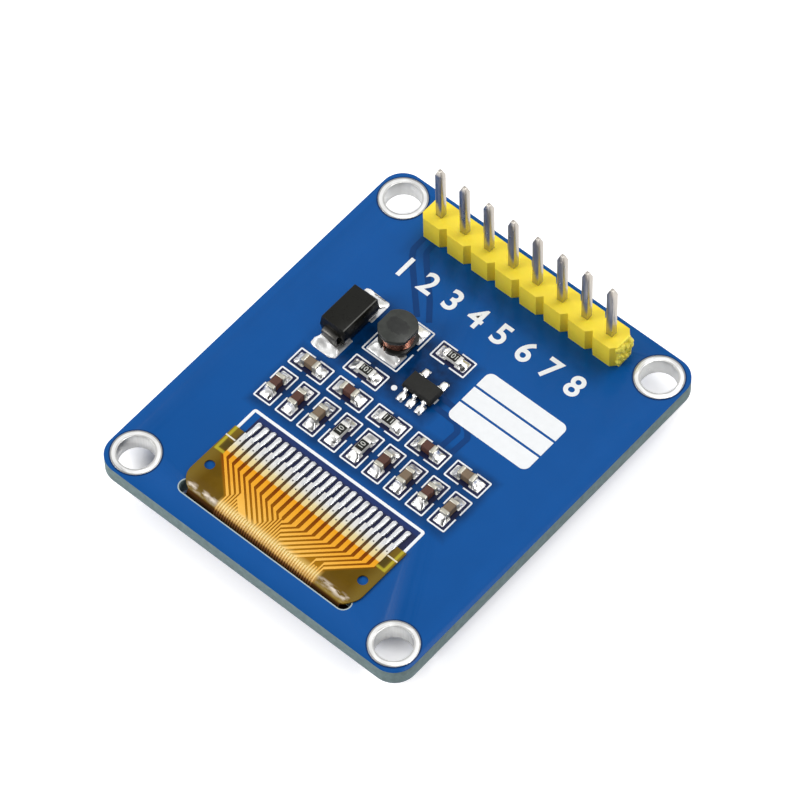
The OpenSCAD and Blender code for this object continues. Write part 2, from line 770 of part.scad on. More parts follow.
// Side view of a layer of the folded cable: over the slot's edge, down through it and back below.
// The two radii place the layer, and the ends say how far it runs on each face.
module folded_layer(inner, outer, upper_end, lower_end) {
    translate([fold_y, upper_fold_z + inner]) square([upper_end - fold_y, outer - inner]);
    translate([fold_y, upper_fold_z]) quarter_ring(inner, outer, [-1, 1]);
    translate([fold_y - outer, lower_fold_z]) square([outer - inner, upper_fold_z - lower_fold_z]);
    translate([fold_y, lower_fold_z]) quarter_ring(inner, outer, [-1, -1]);
    translate([fold_y, lower_fold_z - outer]) square([lower_end - fold_y, outer - inner]);
}

module shoulder_outline() {
    l = flex_end_y - flex_shoulder_y;
    translate([0, flex_shoulder_y + l / 2]) rounded_rect(flex_w, l, flex_shoulder_r);
    translate([-flex_w / 2, flex_end_y - flex_shoulder_r - overlap])
        square([flex_w, flex_shoulder_r + overlap]);
}

module flex_film() color(film_amber) on_flex() difference() {
    union() {
        along_x(flex_neck_w)
            folded_layer(fold_r - film_t, fold_r, flex_end_y, panel_low_y + bond_l);
        intersection() {
            along_x(flex_w + 1) intersection() {
                folded_layer(fold_r - film_t, fold_r, flex_end_y, panel_low_y);
                translate([fold_y - fold_r, upper_fold_z]) square([flex_end_y - fold_y + fold_r, 2 * fold_r]);
            }
            translate([0, 0, upper_fold_z]) linear_extrude(2 * fold_r) shoulder_outline();
        }
    }
    for (s = [-1, 1]) translate([s * locator_pitch / 2, locator_y, 0])
        cylinder(h = 2 * film_top_z, d = locator_d);
}

function contact_at(i) = (i - contact_mid) * contact_pitch;
function fine_at(k) = (k - (fine_count - 1) / 2) * fine_pitch;
function on_left(i) = i < contact_mid;
// Contacts counted inward from the nearer edge of the cable
function from_edge(i) = min(i, contact_count - 1 - i);
// The fine trace that a contact ends in: the outer three lead down the edge, the rest gather inside.
// On the right the third keeps a wider gap.
function fine_line(i) = let (m = from_edge(i), last = fine_count - 1)
    m < pour_contact ? (on_left(i) ? m : last - m - (m == pour_contact - 1 ? edge_gap : 0))
    : on_left(i) ? fine_axis - (contact_mid - i - 0.5) : fine_axis + (i - contact_mid + 0.5);

// One trace: contact, slanted run towards the middle, fine run to the fold
module trace(i) {
    side = on_left(i) ? 1 : -1;
    x = side * contact_at(i);
    end = side * fine_at(fine_line(i));
    turn = jog_y - from_edge(i) * jog_step;
    slant_drop = slant_w * norm([1, slant_rise]);
    inner_turn = turn + slant_drop - trace_w * slant_rise;
    outer = x - trace_w / 2;
    inner = x + trace_w / 2;
    mirror([side < 0 ? 1 : 0, 0]) polygon([
        [x - contact_w / 2, flex_end_y], [x - contact_w / 2, cover_end_y], [outer, cover_end_y],
        [outer, turn], [end - fine_w / 2, turn - slant_rise * (end - fine_w / 2 - outer)],
        [end - fine_w / 2, trace_end_y], [end + fine_w / 2, trace_end_y],
        [end + fine_w / 2, inner_turn - slant_rise * (end + fine_w / 2 - inner)],
        [inner, inner_turn], [inner, cover_end_y],
        [x + contact_w / 2, cover_end_y], [x + contact_w / 2, flex_end_y]]);
}

// The filled copper beside the left-hand slanted traces, with fine traces down from its lower side
module ground_pour() {
    left = fine_at(pour_line) - fine_w / 2;
    top = jog_y - pour_contact * jog_step - slant_rise * (left - contact_at(pour_contact) + trace_w / 2);
    low = top - pour_w;
    polygon([
        [left, top], [left, low], [left + (low - fold_y) / slant_rise, fold_y],
        [left + (top - fold_y) / slant_rise, fold_y]]);
    for (k = [pour_line:fine_axis]) let (l = low + overlap - slant_rise * (fine_at(k) - left) - fold_y)
        if (l > overlap) translate([fine_at(k) - fine_w / 2, fold_y]) square([fine_w, l]);
}

// The fine traces at the right-hand edge start a little before the fold
module edge_traces() for (k = [fine_count - edge_lines:fine_count - 1])
    translate([fine_at(k) - fine_w / 2, fold_y]) square([fine_w, edge_lines_l]);

module locating_bar(s) translate([s * (flex_w - bar_l) / 2, flex_end_y - bar_inset])
    square([bar_l, bar_w], center = true);

module flex_traces() color(copper) on_flex() {
    translate([0, 0, film_top_z]) linear_extrude(trace_t) intersection() {
        union() {
            for (i = [0:contact_count - 1]) trace(i);
            ground_pour();
            edge_traces();
            for (s = [-1, 1]) locating_bar(s);
        }
        translate([-flex_w / 2, fold_y]) square([flex_w, flex_end_y - fold_y]);
    }
    for (k = [0:fine_count - 1]) translate([fine_at(k), 0, 0])
        along_x(fine_w) folded_layer(fold_r, fold_r + trace_t, fold_y + overlap, panel_low_y - trace_setback);
}

// Display panel

module panel_plate(w, low_y, high_y, z, t)
    translate([-w / 2, low_y, z]) cube([w, high_y - low_y, t]);

module display_glass() color("lightsteelblue", 0.6)
    panel_plate(panel_w, panel_low_y, panel_top_y, glass_z, glass_t);

module display_cover_glass() color("lightsteelblue", 0.6)
    panel_plate(panel_w, ledge_y, panel_top_y, cover_z, cover_t);

module display_polariser() color([0.08, 0.08, 0.09]) panel_plate(
    panel_w - 2 * polariser_margin, ledge_y, panel_top_y - polariser_margin, polariser_z, polariser_t);

module driver_chip() color([0.3, 0.3, 0.34])
    panel_plate(driver_l, driver_y, driver_y + driver_w, cover_z, driver_t);

module foam_tape() color("whitesmoke") panel_plate(
    panel_w - 2 * tape_margin, ledge_y + tape_margin, panel_top_y - tape_margin, tape_z, tape_t);

circuit_board();
mounting_hole_plating();
solder_pads();
silkscreen();
header_housing();
for (i = [1:pin_count]) header_pin(i);
header_solder();
for (i = [1:len(cap_spots)]) capacitor(i);
capacitor_terminals();
for (i = [1:len(res_spots)]) resistor(i);
resistor_glaze();
resistor_terminals();
chip_solder();
converter_body();
converter_leads();
diode_body();
diode_leads();
inductor_core();
inductor_winding();
inductor_terminals();
flex_film();
flex_traces();
display_glass();
display_cover_glass();
display_polariser();
driver_chip();
foam_tape();
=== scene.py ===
"""Looks of a small display module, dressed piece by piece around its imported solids.

A blue circuit board carries a yellow pin header, a step-up converter with its inductor and diode, and
rows of chip parts. A folded amber cable joins it to the display panel on the other face.
The scene is in metres; sizes here are written in millimetres and multiplied by MM.
"""
import json
import math
import random

import bmesh
import bpy
from mathutils import Matrix, Vector, noise


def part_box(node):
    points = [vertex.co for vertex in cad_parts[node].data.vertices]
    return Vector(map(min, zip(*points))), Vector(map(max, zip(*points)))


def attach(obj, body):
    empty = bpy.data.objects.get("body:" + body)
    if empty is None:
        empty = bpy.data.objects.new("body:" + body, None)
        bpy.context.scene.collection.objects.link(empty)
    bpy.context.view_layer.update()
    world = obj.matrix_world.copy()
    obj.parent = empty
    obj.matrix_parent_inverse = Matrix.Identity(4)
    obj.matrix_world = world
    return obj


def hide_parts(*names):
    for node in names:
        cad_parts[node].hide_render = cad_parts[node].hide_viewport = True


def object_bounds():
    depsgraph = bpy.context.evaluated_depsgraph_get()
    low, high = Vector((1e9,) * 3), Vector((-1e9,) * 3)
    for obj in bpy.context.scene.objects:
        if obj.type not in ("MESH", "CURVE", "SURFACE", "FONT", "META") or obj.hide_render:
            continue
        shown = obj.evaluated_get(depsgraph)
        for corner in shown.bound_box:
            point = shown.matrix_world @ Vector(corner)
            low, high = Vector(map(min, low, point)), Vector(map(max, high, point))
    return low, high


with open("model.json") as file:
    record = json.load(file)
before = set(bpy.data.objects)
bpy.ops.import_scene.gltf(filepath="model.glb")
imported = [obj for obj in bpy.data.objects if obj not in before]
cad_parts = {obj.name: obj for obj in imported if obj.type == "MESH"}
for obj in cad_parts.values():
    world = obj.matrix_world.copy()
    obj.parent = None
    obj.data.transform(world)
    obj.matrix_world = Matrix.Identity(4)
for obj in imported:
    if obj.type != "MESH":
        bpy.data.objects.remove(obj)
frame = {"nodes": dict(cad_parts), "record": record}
nodes = frame["nodes"]
cad_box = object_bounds()
MM = 0.001


# Camera, floor and light
# The module lies display down on a white table, seen from above its near corner, in a white tent that
# is brightest at its far left. Softboxes fill in from the rear, the front and the right. Metal mirrors
# the tent, a dim band low down in it, one lamp, and the dark place where the camera stands.

target = Vector((-0.782, 1.125, 0.0)) * MM
look_azimuth = math.radians(42.63)
look_elevation = math.radians(56.94)
look_distance = 405.4 * MM
camera_roll = math.radians(-1.98)


def from_side(azimuth, elevation):
    """The direction towards a place round the module, from its two angles."""
    return Vector((
        math.sin(azimuth) * math.cos(elevation),
        -math.cos(azimuth) * math.cos(elevation),
        math.sin(elevation),
    ))


def new_object(name, data):
    """A new object in the scene that shows the data."""
    made = bpy.data.objects.new(name, data)
    bpy.context.scene.collection.objects.link(made)
    return made


back = from_side(look_azimuth, look_elevation)
camera = new_object("camera", bpy.data.cameras.new("camera"))
camera.data.sensor_width = 36.0
camera.data.lens = 230.4
camera.data.shift_x = -0.0006
camera.data.shift_y = 0.0006
camera.data.clip_start = 0.01
camera.data.clip_end = 10.0
camera.matrix_world = (
    Matrix.Translation(target + back * look_distance)
    @ back.to_track_quat("Z", "Y").to_matrix().to_4x4()
    @ Matrix.Rotation(camera_roll, 4, "Z")
)
bpy.context.scene.camera = camera
bpy.context.scene.view_settings.view_transform = "Standard"


def add_node(tree, node_kind, inputs=None, **settings):
    """Adds one node. An input is a value or another node's output; settings are its own properties."""
    node = tree.nodes.new(node_kind)
    for name, value in settings.items():
        setattr(node, name, value)
    for socket, value in (inputs or {}).items():
        if isinstance(value, bpy.types.NodeSocket):
            tree.links.new(value, node.inputs[socket])
        else:
            node.inputs[socket].default_value = value
    return node


def output_of(tree, node_kind, inputs=None, **settings):
    """Adds one node and gives its first output."""
    return add_node(tree, node_kind, inputs, **settings).outputs[0]


def joining(kind, operation):
    """A function that joins values by one node of that kind, in the values' own tree."""
    def join(*values):
        tree = next(value for value in values if isinstance(value, bpy.types.NodeSocket)).id_data
        return output_of(tree, kind, dict(enumerate(values)), operation=operation)
    return join


times, plus, minus, over, power, root, absolute, larger, smaller, times_plus = (
    joining("ShaderNodeMath", operation) for operation in (
        "MULTIPLY", "ADD", "SUBTRACT", "DIVIDE", "POWER", "SQRT", "ABSOLUTE", "MAXIMUM", "MINIMUM",
        "MULTIPLY_ADD"))
vector_times, vector_plus, vector_minus, vector_absolute, vector_times_plus = (
    joining("ShaderNodeVectorMath", operation) for operation in (
        "MULTIPLY", "ADD", "SUBTRACT", "ABSOLUTE", "MULTIPLY_ADD"))


def scaled(vector, amount):
    """The vector or colour times one value."""
    return output_of(vector.id_data, "ShaderNodeVectorMath", {
        0: vector, "Scale": amount}, operation="SCALE")


def fade(value, start, end, low=0.0, high=1.0, steps="LINEAR"):
    """Goes from low to high as the value goes from start to end."""
    return output_of(value.id_data, "ShaderNodeMapRange", {
        "Value": value, "From Min": start, "From Max": end, "To Min": low, "To Max": high,
    }, interpolation_type=steps)


def sides_of(vector):
    """The vector's X, Y and Z."""
    return add_node(vector.id_data, "ShaderNodeSeparateXYZ", {0: vector}).outputs


def blend(amount, first, second):
    """The first colour where amount is 0 and the second where it is 1."""
    return add_node(amount.id_data, "ShaderNodeMix", {
        "Factor": amount, 6: first, 7: second}, data_type="RGBA").outputs[2]


def ramp(value, stops):
    """A colour that changes with a value from 0 to 1. Each stop is a value and a colour."""
    made = add_node(value.id_data, "ShaderNodeValToRGB", {0: value})
    band = made.color_ramp.elements
    stops = sorted(stops)
    for end in (0, -1):
        band[end].position, band[end].color = stops[end][0], (*stops[end][1], 1)
    for at, tone in stops[1:-1]:
        band.new(at).color = (*tone, 1)
    return made.outputs[0]


def mesh_object(name, build):
    """A new object at the origin whose mesh is filled in by build(bmesh)."""
    shape = bmesh.new()
    build(shape)
    mesh = bpy.data.meshes.new(name)
    shape.to_mesh(mesh)
    shape.free()
    return new_object(name, mesh)


floor_half = 1.5
floor_white = 0.86
floor_lift = 0.5
shade_stretch = (70.0, 260.0, 0.0)
shade_shift = (0.1, 3.5, 0.0)
floor = mesh_object("floor", lambda shape: bmesh.ops.create_grid(
    shape, x_segments=1, y_segments=1, size=floor_half,
    matrix=Matrix.Translation((0, 0, cad_box[0].z))))
floor_finish = bpy.data.materials.new("white_table")
floor_finish.use_nodes = True
tree = floor_finish.node_tree
paper = tree.nodes["Principled BSDF"]
paper.inputs["Base Color"].default_value = (floor_white, floor_white, floor_white, 1)
paper.inputs["Roughness"].default_value = 0.9
paper.inputs["Specular IOR Level"].default_value = 0.0

# The table glows for rays that show it, apart from an oval under the cable's slot, which is left dark as
# painted shade
rays = add_node(tree, "ShaderNodeLightPath").outputs
shown = larger(larger(rays["Is Camera Ray"], rays["Is Glossy Ray"]), rays["Is Transmission Ray"])
spot = add_node(tree, "ShaderNodeTexCoord").outputs["Object"]
from_slot = add_node(tree, "ShaderNodeVectorMath", {
    0: vector_plus(vector_times(spot, shade_stretch), shade_shift)}, operation="LENGTH").outputs["Value"]
glow = output_of(tree, "ShaderNodeEmission", {
    "Color": (1, 1, 1, 1), "Strength": times(shown, fade(from_slot, 0.9, 1.1, 0.0, floor_lift))})
lit = output_of(tree, "ShaderNodeAddShader", {0: paper.outputs[0], 1: glow})
clear = output_of(tree, "ShaderNodeBsdfTransparent")
under = add_node(tree, "ShaderNodeNewGeometry").outputs["Backfacing"]
from_below = output_of(tree, "ShaderNodeMixShader", {0: under, 1: lit, 2: clear})
tree.links.new(from_below, tree.nodes["Material Output"].inputs["Surface"])
floor.data.materials.append(floor_finish)

tent_dim, tent_bright = 0.30, 1.0
tent_window = Vector((-0.54, 0.54, 0.64))
lamp_gleam = Vector((0.88, 0.08, 0.47))
gleam_strength = 9.0
tent_greys = ((0.12, 1.0), (0.25, 0.3), (0.42, 0.22), (0.6, 1.0))
world = bpy.data.worlds.new("white_tent")
bpy.context.scene.world = world
world.use_nodes = True
tree = world.node_tree
way = add_node(tree, "ShaderNodeTexCoord").outputs["Generated"]


def toward(direction):
    """How closely a ray heads that way: 1 straight at it, 0 or less square to it or away."""
    return add_node(tree, "ShaderNodeVectorMath", {
        0: way, 1: direction}, operation="DOT_PRODUCT").outputs["Value"]


from_window = power(larger(toward(tent_window), 0.0), 2.0)
tent_light = times_plus(from_window, tent_bright, tent_dim)
tent = ramp(sides_of(way)["Z"], [(at, (grey, grey, grey)) for at, grey in tent_greys])
past_camera = fade(toward(back), 0.68, 0.87, 1.0, 0.03, "SMOOTHSTEP")
near_lamp = fade(toward(lamp_gleam), 0.96, 0.985, 0.0, gleam_strength, "SMOOTHSTEP")
mirrored_tent = vector_plus(scaled(tent, past_camera), near_lamp)
rays = add_node(tree, "ShaderNodeLightPath").outputs
seen_in_metal = blend(rays["Is Glossy Ray"], tent_light, mirrored_tent)
through = larger(rays["Is Camera Ray"], rays["Is Transmission Ray"])
tree.links.new(blend(through, seen_in_metal, (1, 1, 1, 1)), tree.nodes["Background"].inputs["Color"])


def softbox(name, azimuth, elevation, size, watts, distance=0.5):
    """A square lamp that faces the module from that side."""
    lamp = bpy.data.lights.new(name, "AREA")
    lamp.shape = "SQUARE"
    lamp.size = size
    lamp.energy = watts
    side = from_side(math.radians(azimuth), math.radians(elevation))
    holder = new_object(name, lamp)
    holder.location = side * distance
    holder.rotation_mode = "QUATERNION"
    holder.rotation_quaternion = side.to_track_quat("Z", "Y")


softbox("rear_softbox", azimuth=160, elevation=58, size=0.22, watts=0.62)
softbox("front_softbox", azimuth=-40, elevation=32, size=0.2, watts=1.1)
softbox("side_softbox", azimuth=95, elevation=28, size=0.04, watts=0.18)


# Circuit board
# Glass-epoxy laminate under glossy blue solder mask on both faces. The edges were routed, so they show
# the grey-green layers of glass cloth, and the mask stops a hair short of them.

def node_group(name, tree_kind, inputs, outputs):
    """An empty node group with named sockets, and its input node's outputs."""
    group = bpy.data.node_groups.new(name, tree_kind)
    for way, sockets in (("INPUT", inputs), ("OUTPUT", outputs)):
        for socket, kind in sockets.items():
            group.interface.new_socket(socket, in_out=way, socket_type="NodeSocket" + kind)
    return group, group.nodes.new("NodeGroupInput").outputs


def use(tree, group, inputs=None):
    """The outputs of a shader group that is used with this material's own values."""
    return add_node(tree, "ShaderNodeGroup", inputs, node_tree=group).outputs


def noise_at(place, scale, detail):
    """Soft random clouds: their shade and their colour."""
    return add_node(place.id_data, "ShaderNodeTexNoise", {
        "Vector": place, "Scale": scale, "Detail": detail}).outputs


def bumped(height, normal=None):
    """A normal over bumps whose height is in millimetres."""
    under = {"Normal": normal} if normal else {}
    return output_of(height.id_data, "ShaderNodeBump", {
        "Height": height, "Distance": MM, "Strength": 1.0, **under})


# Places in millimetres, for patterns that follow the module's own axes
in_mm, given = node_group("millimetres", "ShaderNodeTree", {}, {"Place": "Vector"})
spot = add_node(in_mm, "ShaderNodeTexCoord").outputs["Object"]
add_node(in_mm, "NodeGroupOutput", {"Place": scaled(spot, 1 / MM)})

# Cloudy grain: a colour that drifts, a roughness that drifts with it, and a fine bump
grain, given = node_group("grain", "ShaderNodeTree", {
    "Color": "Color", "Drift": "Float", "Size mm": "Float", "Roughness": "Float",
    "Roughness drift": "Float", "Bump mm": "Float", "Bump size mm": "Float",
}, {"Color": "Color", "Roughness": "Float", "Normal": "Vector"})
place = use(grain, in_mm)[0]
cloud = noise_at(place, over(1.0, given["Size mm"]), 4.0)[0]
swing = times(minus(cloud, 0.5), 4.0)
fine = noise_at(place, over(1.0, given["Bump size mm"]), 3.0)[0]
add_node(grain, "NodeGroupOutput", {
    "Color": scaled(given["Color"], times_plus(swing, given["Drift"], 1.0)),
    "Roughness": times_plus(swing, given["Roughness drift"], given["Roughness"]),
    "Normal": bumped(times(fine, given["Bump mm"]))})

# 1 inside an upright box given by its middle and its size in millimetres, with soft sides
inside_box, given = node_group("inside_box", "ShaderNodeTree", {
    "Place": "Vector", "Middle": "Vector", "Size": "Vector", "Softness": "Float"}, {"Mask": "Float"})
off = vector_absolute(vector_minus(given["Place"], given["Middle"]))
past = sides_of(vector_minus(off, scaled(given["Size"], 0.5)))
furthest = larger(larger(past[0], past[1]), past[2])
add_node(inside_box, "NodeGroupOutput", {
    "Mask": fade(furthest, given["Softness"], times(given["Softness"], -1.0))})

# 1 within a radius of a line along X, in millimetres
line_edge = 0.015
near_line, given = node_group("near_line", "ShaderNodeTree", {
    "Place": "Vector", "Middle": "Vector", "Half length": "Float", "Radius": "Float"}, {"Mask": "Float"})
off = sides_of(vector_minus(given["Place"], given["Middle"]))
past_end = larger(minus(absolute(off[0]), given["Half length"]), 0.0)
gap = root(plus(power(past_end, 2.0), power(off[1], 2.0)))
add_node(near_line, "NodeGroupOutput", {
    "Mask": fade(minus(gap, given["Radius"]), line_edge, -line_edge)})


def grain_of(tree, color, roughness, drift, size, wear, bump, bump_size):
    """The grain with one finish's values. Drift and wear are how far its colour and roughness wander."""
    return use(tree, grain, {
        "Color": (*color, 1), "Drift": drift, "Size mm": size, "Roughness": roughness,
        "Roughness drift": wear, "Bump mm": bump, "Bump size mm": bump_size})


def feed(material, **sockets):
    """Links outputs to the material's shader, such as Base_Color=output."""
    shader = material.node_tree.nodes["Principled BSDF"]
    for socket, output in sockets.items():
        material.node_tree.links.new(output, shader.inputs[socket.replace("_", " ")])


def finish(name, color, roughness, drift=None, size=1.0, wear=0.05, bump=0.0, bump_size=0.1, **sockets):
    """A material with plain values on its shader's sockets, and with the grain where it has a drift."""
    made = bpy.data.materials.new(name)
    made.use_nodes = True
    shader = made.node_tree.nodes["Principled BSDF"]
    shader.inputs["Base Color"].default_value = (*color, 1)
    shader.inputs["Roughness"].default_value = roughness
    for socket, value in sockets.items():
        shader.inputs[socket.replace("_", " ")].default_value = value
    if drift is not None:
        grains = grain_of(made.node_tree, color, roughness, drift, size, wear, bump, bump_size)
        feed(made, Base_Color=grains["Color"], Roughness=grains["Roughness"], Normal=grains["Normal"])
    return made


def layout(material):
    """Places in millimetres on whatever the material covers."""
    return use(material.node_tree, in_mm)[0]


def box_mask(place, middle, size, softness=0.02):
    """1 inside a box in millimetres."""
    return use(place.id_data, inside_box, {
        "Place": place, "Middle": middle, "Size": size, "Softness": softness})[0]


def line_mask(place, middle, radius, half_length=0.0):
    """1 within a radius of a point, or of a line along X, in millimetres."""
    return use(place.id_data, near_line, {
        "Place": place, "Middle": middle, "Half length": half_length, "Radius": radius})[0]


def tint(color, mask, tone, share=1.0):
    """The colour, turned to the tone by that share where the mask is 1."""
    return blend(mask if share == 1.0 else times(mask, share), color, (*tone, 1))


def dress(piece, material, record_slot=None):
    """Gives a CAD node its material. A piece that is given a slot name also rides on the board."""
    piece.data.materials.clear()
    piece.data.materials.append(material)
    if record_slot:
        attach(piece, "root")


def box_of(node_name):
    """The low and the high corner of a CAD node, in millimetres."""
    return [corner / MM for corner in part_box(node_name)]


weld = 0.0005 * MM


def eased(node_name, piece_name, radius_mm, material, record_slot):
    """A copy of a CAD piece with its sharp edges rounded off, which stands for that piece."""
    def build(shape):
        shape.from_mesh(nodes[node_name].data)
        bmesh.ops.remove_doubles(shape, verts=shape.verts, dist=weld)
        bmesh.ops.dissolve_limit(
            shape, angle_limit=math.radians(0.5), verts=shape.verts, edges=shape.edges)
        for face in shape.faces:
            face.smooth = True
    piece = mesh_object(piece_name, build)
    bevel = piece.modifiers.new("eased edges", "BEVEL")
    bevel.width = radius_mm * MM
    bevel.segments = 2
    bevel.limit_method = "ANGLE"
    bevel.angle_limit = math.radians(35)
    bevel.harden_normals = True
    dress(piece, material, record_slot)
    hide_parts(node_name)


board_low, board_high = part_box("circuit_board")
board_t = (board_high.z - board_low.z) / MM
mask_blue = (0.0024, 0.080, 0.310)
mask_gloss = 0.12
mask_t = 0.035
laminate_color = (0.19, 0.26, 0.265)
layer_t = 0.21
lit_bare_rim = (0.42, 0.50, 0.50)
slot_middle = (-0.14, -15.75, 0)
slot_half = 8.8
slot_end_r = 0.65
eyelet_high = box_of("mounting_hole_plating")[1]
ring_r, hole_r = 2.08, 1.55
hole_at = (eyelet_high.x - ring_r, eyelet_high.y - ring_r, 0)
ring_shade = (0.002, 0.018, 0.075)

board_finish = finish("blue_mask_on_laminate", mask_blue, 0.25, Specular_IOR_Level=mask_gloss)
tree = board_finish.node_tree
place = layout(board_finish)
blue = grain_of(tree, mask_blue, 0.22, drift=0.035, size=3.0, wear=0.03, bump=0.0008, bump_size=0.35)
core = grain_of(tree, laminate_color, 0.75, drift=0.16, size=0.5, wear=0.05, bump=0.012, bump_size=0.12)
layers = add_node(tree, "ShaderNodeTexWave", {
    "Vector": place, "Scale": 0.314 / layer_t, "Distortion": 0.6, "Detail": 2.0, "Detail Scale": 2.0,
}, bands_direction="Z")
cloth = scaled(core["Color"], times_plus(layers.outputs["Fac"], 0.22, 0.86))
laminate = box_mask(place, (0, 0, -board_t / 2), (100, 100, board_t - 2 * mask_t), 0.01)

# The mask is painted darker among the parts, between the diode and the inductor, and in front of the
# header:
# painted shade where the parts and the header shade the board. Each field is its middle, its size, how
# softly it ends and how strong it is.
painted_shade_fields = 0.0
for middle, size, softness, strength in (
        ((0, -3.2, 0), (20.4, 6.7, 2), 0.45, 1.0),
        ((-2.9, 3.9, 0), (9.6, 6.6, 2), 0.7, 1.4),
        ((0, 13.2, 0), (20.0, 2.2, 2), 0.6, 0.45)):
    painted_shade_fields = larger(times(box_mask(place, middle, size, softness), strength), painted_shade_fields)
shade_blotch = noise_at(place, 0.9, 3.0)[0]
masked = scaled(blue["Color"], times_plus(times(painted_shade_fields, plus(shade_blotch, 0.25)), -0.6, 1.0))
# A pale band round the slot: bare laminate at the routed edge, painted paler as a highlight on the lit
# edge.
masked = tint(masked, line_mask(place, slot_middle, slot_end_r + 0.1, slot_half - slot_end_r), lit_bare_rim)
masked = tint(masked, line_mask(vector_absolute(place), hole_at, ring_r + 0.12), ring_shade, 0.7)
feed(board_finish,
     Base_Color=blend(laminate, masked, cloth),
     Roughness=times_plus(laminate, 0.45, blue["Roughness"]),
     Normal=add_node(tree, "ShaderNodeMix", {
         "Factor": laminate, 4: blue["Normal"], 5: core["Normal"]}, data_type="VECTOR").outputs[1])
eased("circuit_board", "routed_board", 0.05, board_finish, "solder_mask")


# Tracks under the mask
# Copper tracks run under the mask from the diode and the header and past the converter. The mask over
# them looks a little darker, and each stands up from the board by the copper's own height.

def geometry_group(name, inputs):
    """A geometry node tree with named inputs for its sizes, and its input node's outputs."""
    return node_group(name, "GeometryNodeTree", {
        "Geometry": "Geometry", **inputs, "Material": "Material"}, {"Geometry": "Geometry"})


def finish_group(geometry, material_socket):
    """Ends a geometry tree in real, painted geometry."""
    group = geometry.id_data
    real = output_of(group, "GeometryNodeRealizeInstances", {0: geometry})
    painted = output_of(group, "GeometryNodeSetMaterial", {0: real, "Material": material_socket})
    add_node(group, "NodeGroupOutput", {"Geometry": painted})


def baked(source):
    """The mesh that an object comes to, after which the object is removed."""
    bpy.context.view_layer.update()
    mesh = bpy.data.meshes.new_from_object(source.evaluated_get(bpy.context.evaluated_depsgraph_get()))
    bpy.data.objects.remove(source)
    return mesh


def grown(name, base, group, material, record_slot, values, stands_for=(), smooth=True):
    """Runs a geometry tree on a base object and keeps the result as a piece with a plain mesh."""
    values = {**values, "Material": material}
    growth = base.modifiers.new(name, "NODES")
    growth.node_group = group
    for item in group.interface.items_tree:
        if item.in_out == "INPUT" and item.name in values:
            growth[item.identifier] = values[item.name]
    piece = new_object(name, baked(base))
    piece.data.name = name
    for face in piece.data.polygons:
        face.use_smooth = smooth
    dress(piece, material, record_slot)
    if stands_for:
        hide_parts(*stands_for)


tracks, given = geometry_group("tracks", {"Width": "Float", "Height": "Float", "Corner": "Float"})
path = output_of(tracks, "GeometryNodeMeshToCurve", {0: given["Geometry"]})
bent = output_of(tracks, "GeometryNodeFilletCurve", {
    0: path, "Count": 4, "Radius": given["Corner"]}, mode="POLY")
flat = output_of(tracks, "GeometryNodeCurvePrimitiveQuadrilateral", {
    "Height": given["Height"], "Bottom Width": given["Width"],
    "Top Width": times(given["Width"], 0.86), "Offset": 0.0}, mode="TRAPEZOID")
upright = output_of(tracks, "GeometryNodeSetCurveNormal", {0: bent}, mode="Z_UP")
swept = output_of(tracks, "GeometryNodeCurveToMesh", {
    "Curve": upright, "Profile Curve": flat, "Fill Caps": True})
finish_group(swept, given["Material"])

track_w = 0.5
track_t = 0.03
track_corner = 0.4
track_runs = (
    ((-9.6, 14.2), (-9.55, 12.8), (-9.0, 12.0), (-5.0, 8.0)),
    ((-8.6, 14.2), (-8.5, 13.2), (-7.7, 12.3), (-5.3, 9.9), (-3.9, 8.2)),
    ((1.3, 3.45), (3.5, 3.35), (5.2, 2.3), (5.6, 1.8), (5.5, 0.0)),
    ((1.4, 2.45), (4.0, 2.35), (4.6, 1.8), (4.5, -0.1)),
)


def build_paths(shape):
    for run in track_runs:
        made = [shape.verts.new(Vector((x, y, 0.0)) * MM) for x, y in run]
        for pair in zip(made, made[1:]):
            shape.edges.new(pair)


track_finish = finish("mask_over_copper", (0.0025, 0.046, 0.19), 0.22, drift=0.05, size=2.0, wear=0.04,
                      bump=0.001, bump_size=0.35, Specular_IOR_Level=mask_gloss)
grown("masked_tracks", mesh_object("track_paths", build_paths), tracks, track_finish, "solder_mask", {
    "Width": track_w * MM, "Height": track_t * MM, "Corner": track_corner * MM}, smooth=False)


# Windows in the mask
# The mask is left open round each part's pads and between the cable's contacts, where the bare
# laminate shows dark. Each window is a thin field just above the board's face.

window_t = 0.008
chip_window = (3.25, 1.5)
contact_window_middle = (0.15, -8.25)
contact_window = (16.7, 2.2)
window_color = (0.014, 0.018, 0.062)
tips_color = (0.012, 0.03, 0.13)


def flat_field(shape, middle, size, top_mm):
    """Adds a thin upright slab that stands on the board, given in millimetres."""
    slab = bmesh.ops.create_cube(shape, size=1.0)["verts"]
    for vert in slab:
        vert.co = Vector((
            middle[0] + vert.co.x * size[0],
            middle[1] + vert.co.y * size[1],
            (vert.co.z + 0.5) * top_mm)) * MM


capacitor_names, resistor_names = (
    sorted(name for name in nodes if name.startswith(kind) and name[-1].isdigit())
    for kind in ("capacitor_", "resistor_"))


def seat(node_name):
    """A part's middle in millimetres, and whether it lies along X."""
    low, high = box_of(node_name)
    return (low + high) / 2, high.x - low.x > high.y - low.y


def build_windows(shape):
    for name in capacitor_names + resistor_names:
        middle, along_x = seat(name)
        flat_field(shape, middle, chip_window if along_x else chip_window[::-1], window_t)
    flat_field(shape, contact_window_middle, contact_window, window_t)


def fed(material, socket="Base Color"):
    """What feeds the shader's socket so far."""
    return material.node_tree.nodes["Principled BSDF"].inputs[socket].links[0].from_socket


def stain(material, mask, tone, share=1.0):
    """Tints what colours the material so far."""
    feed(material, Base_Color=tint(fed(material), mask, tone, share))


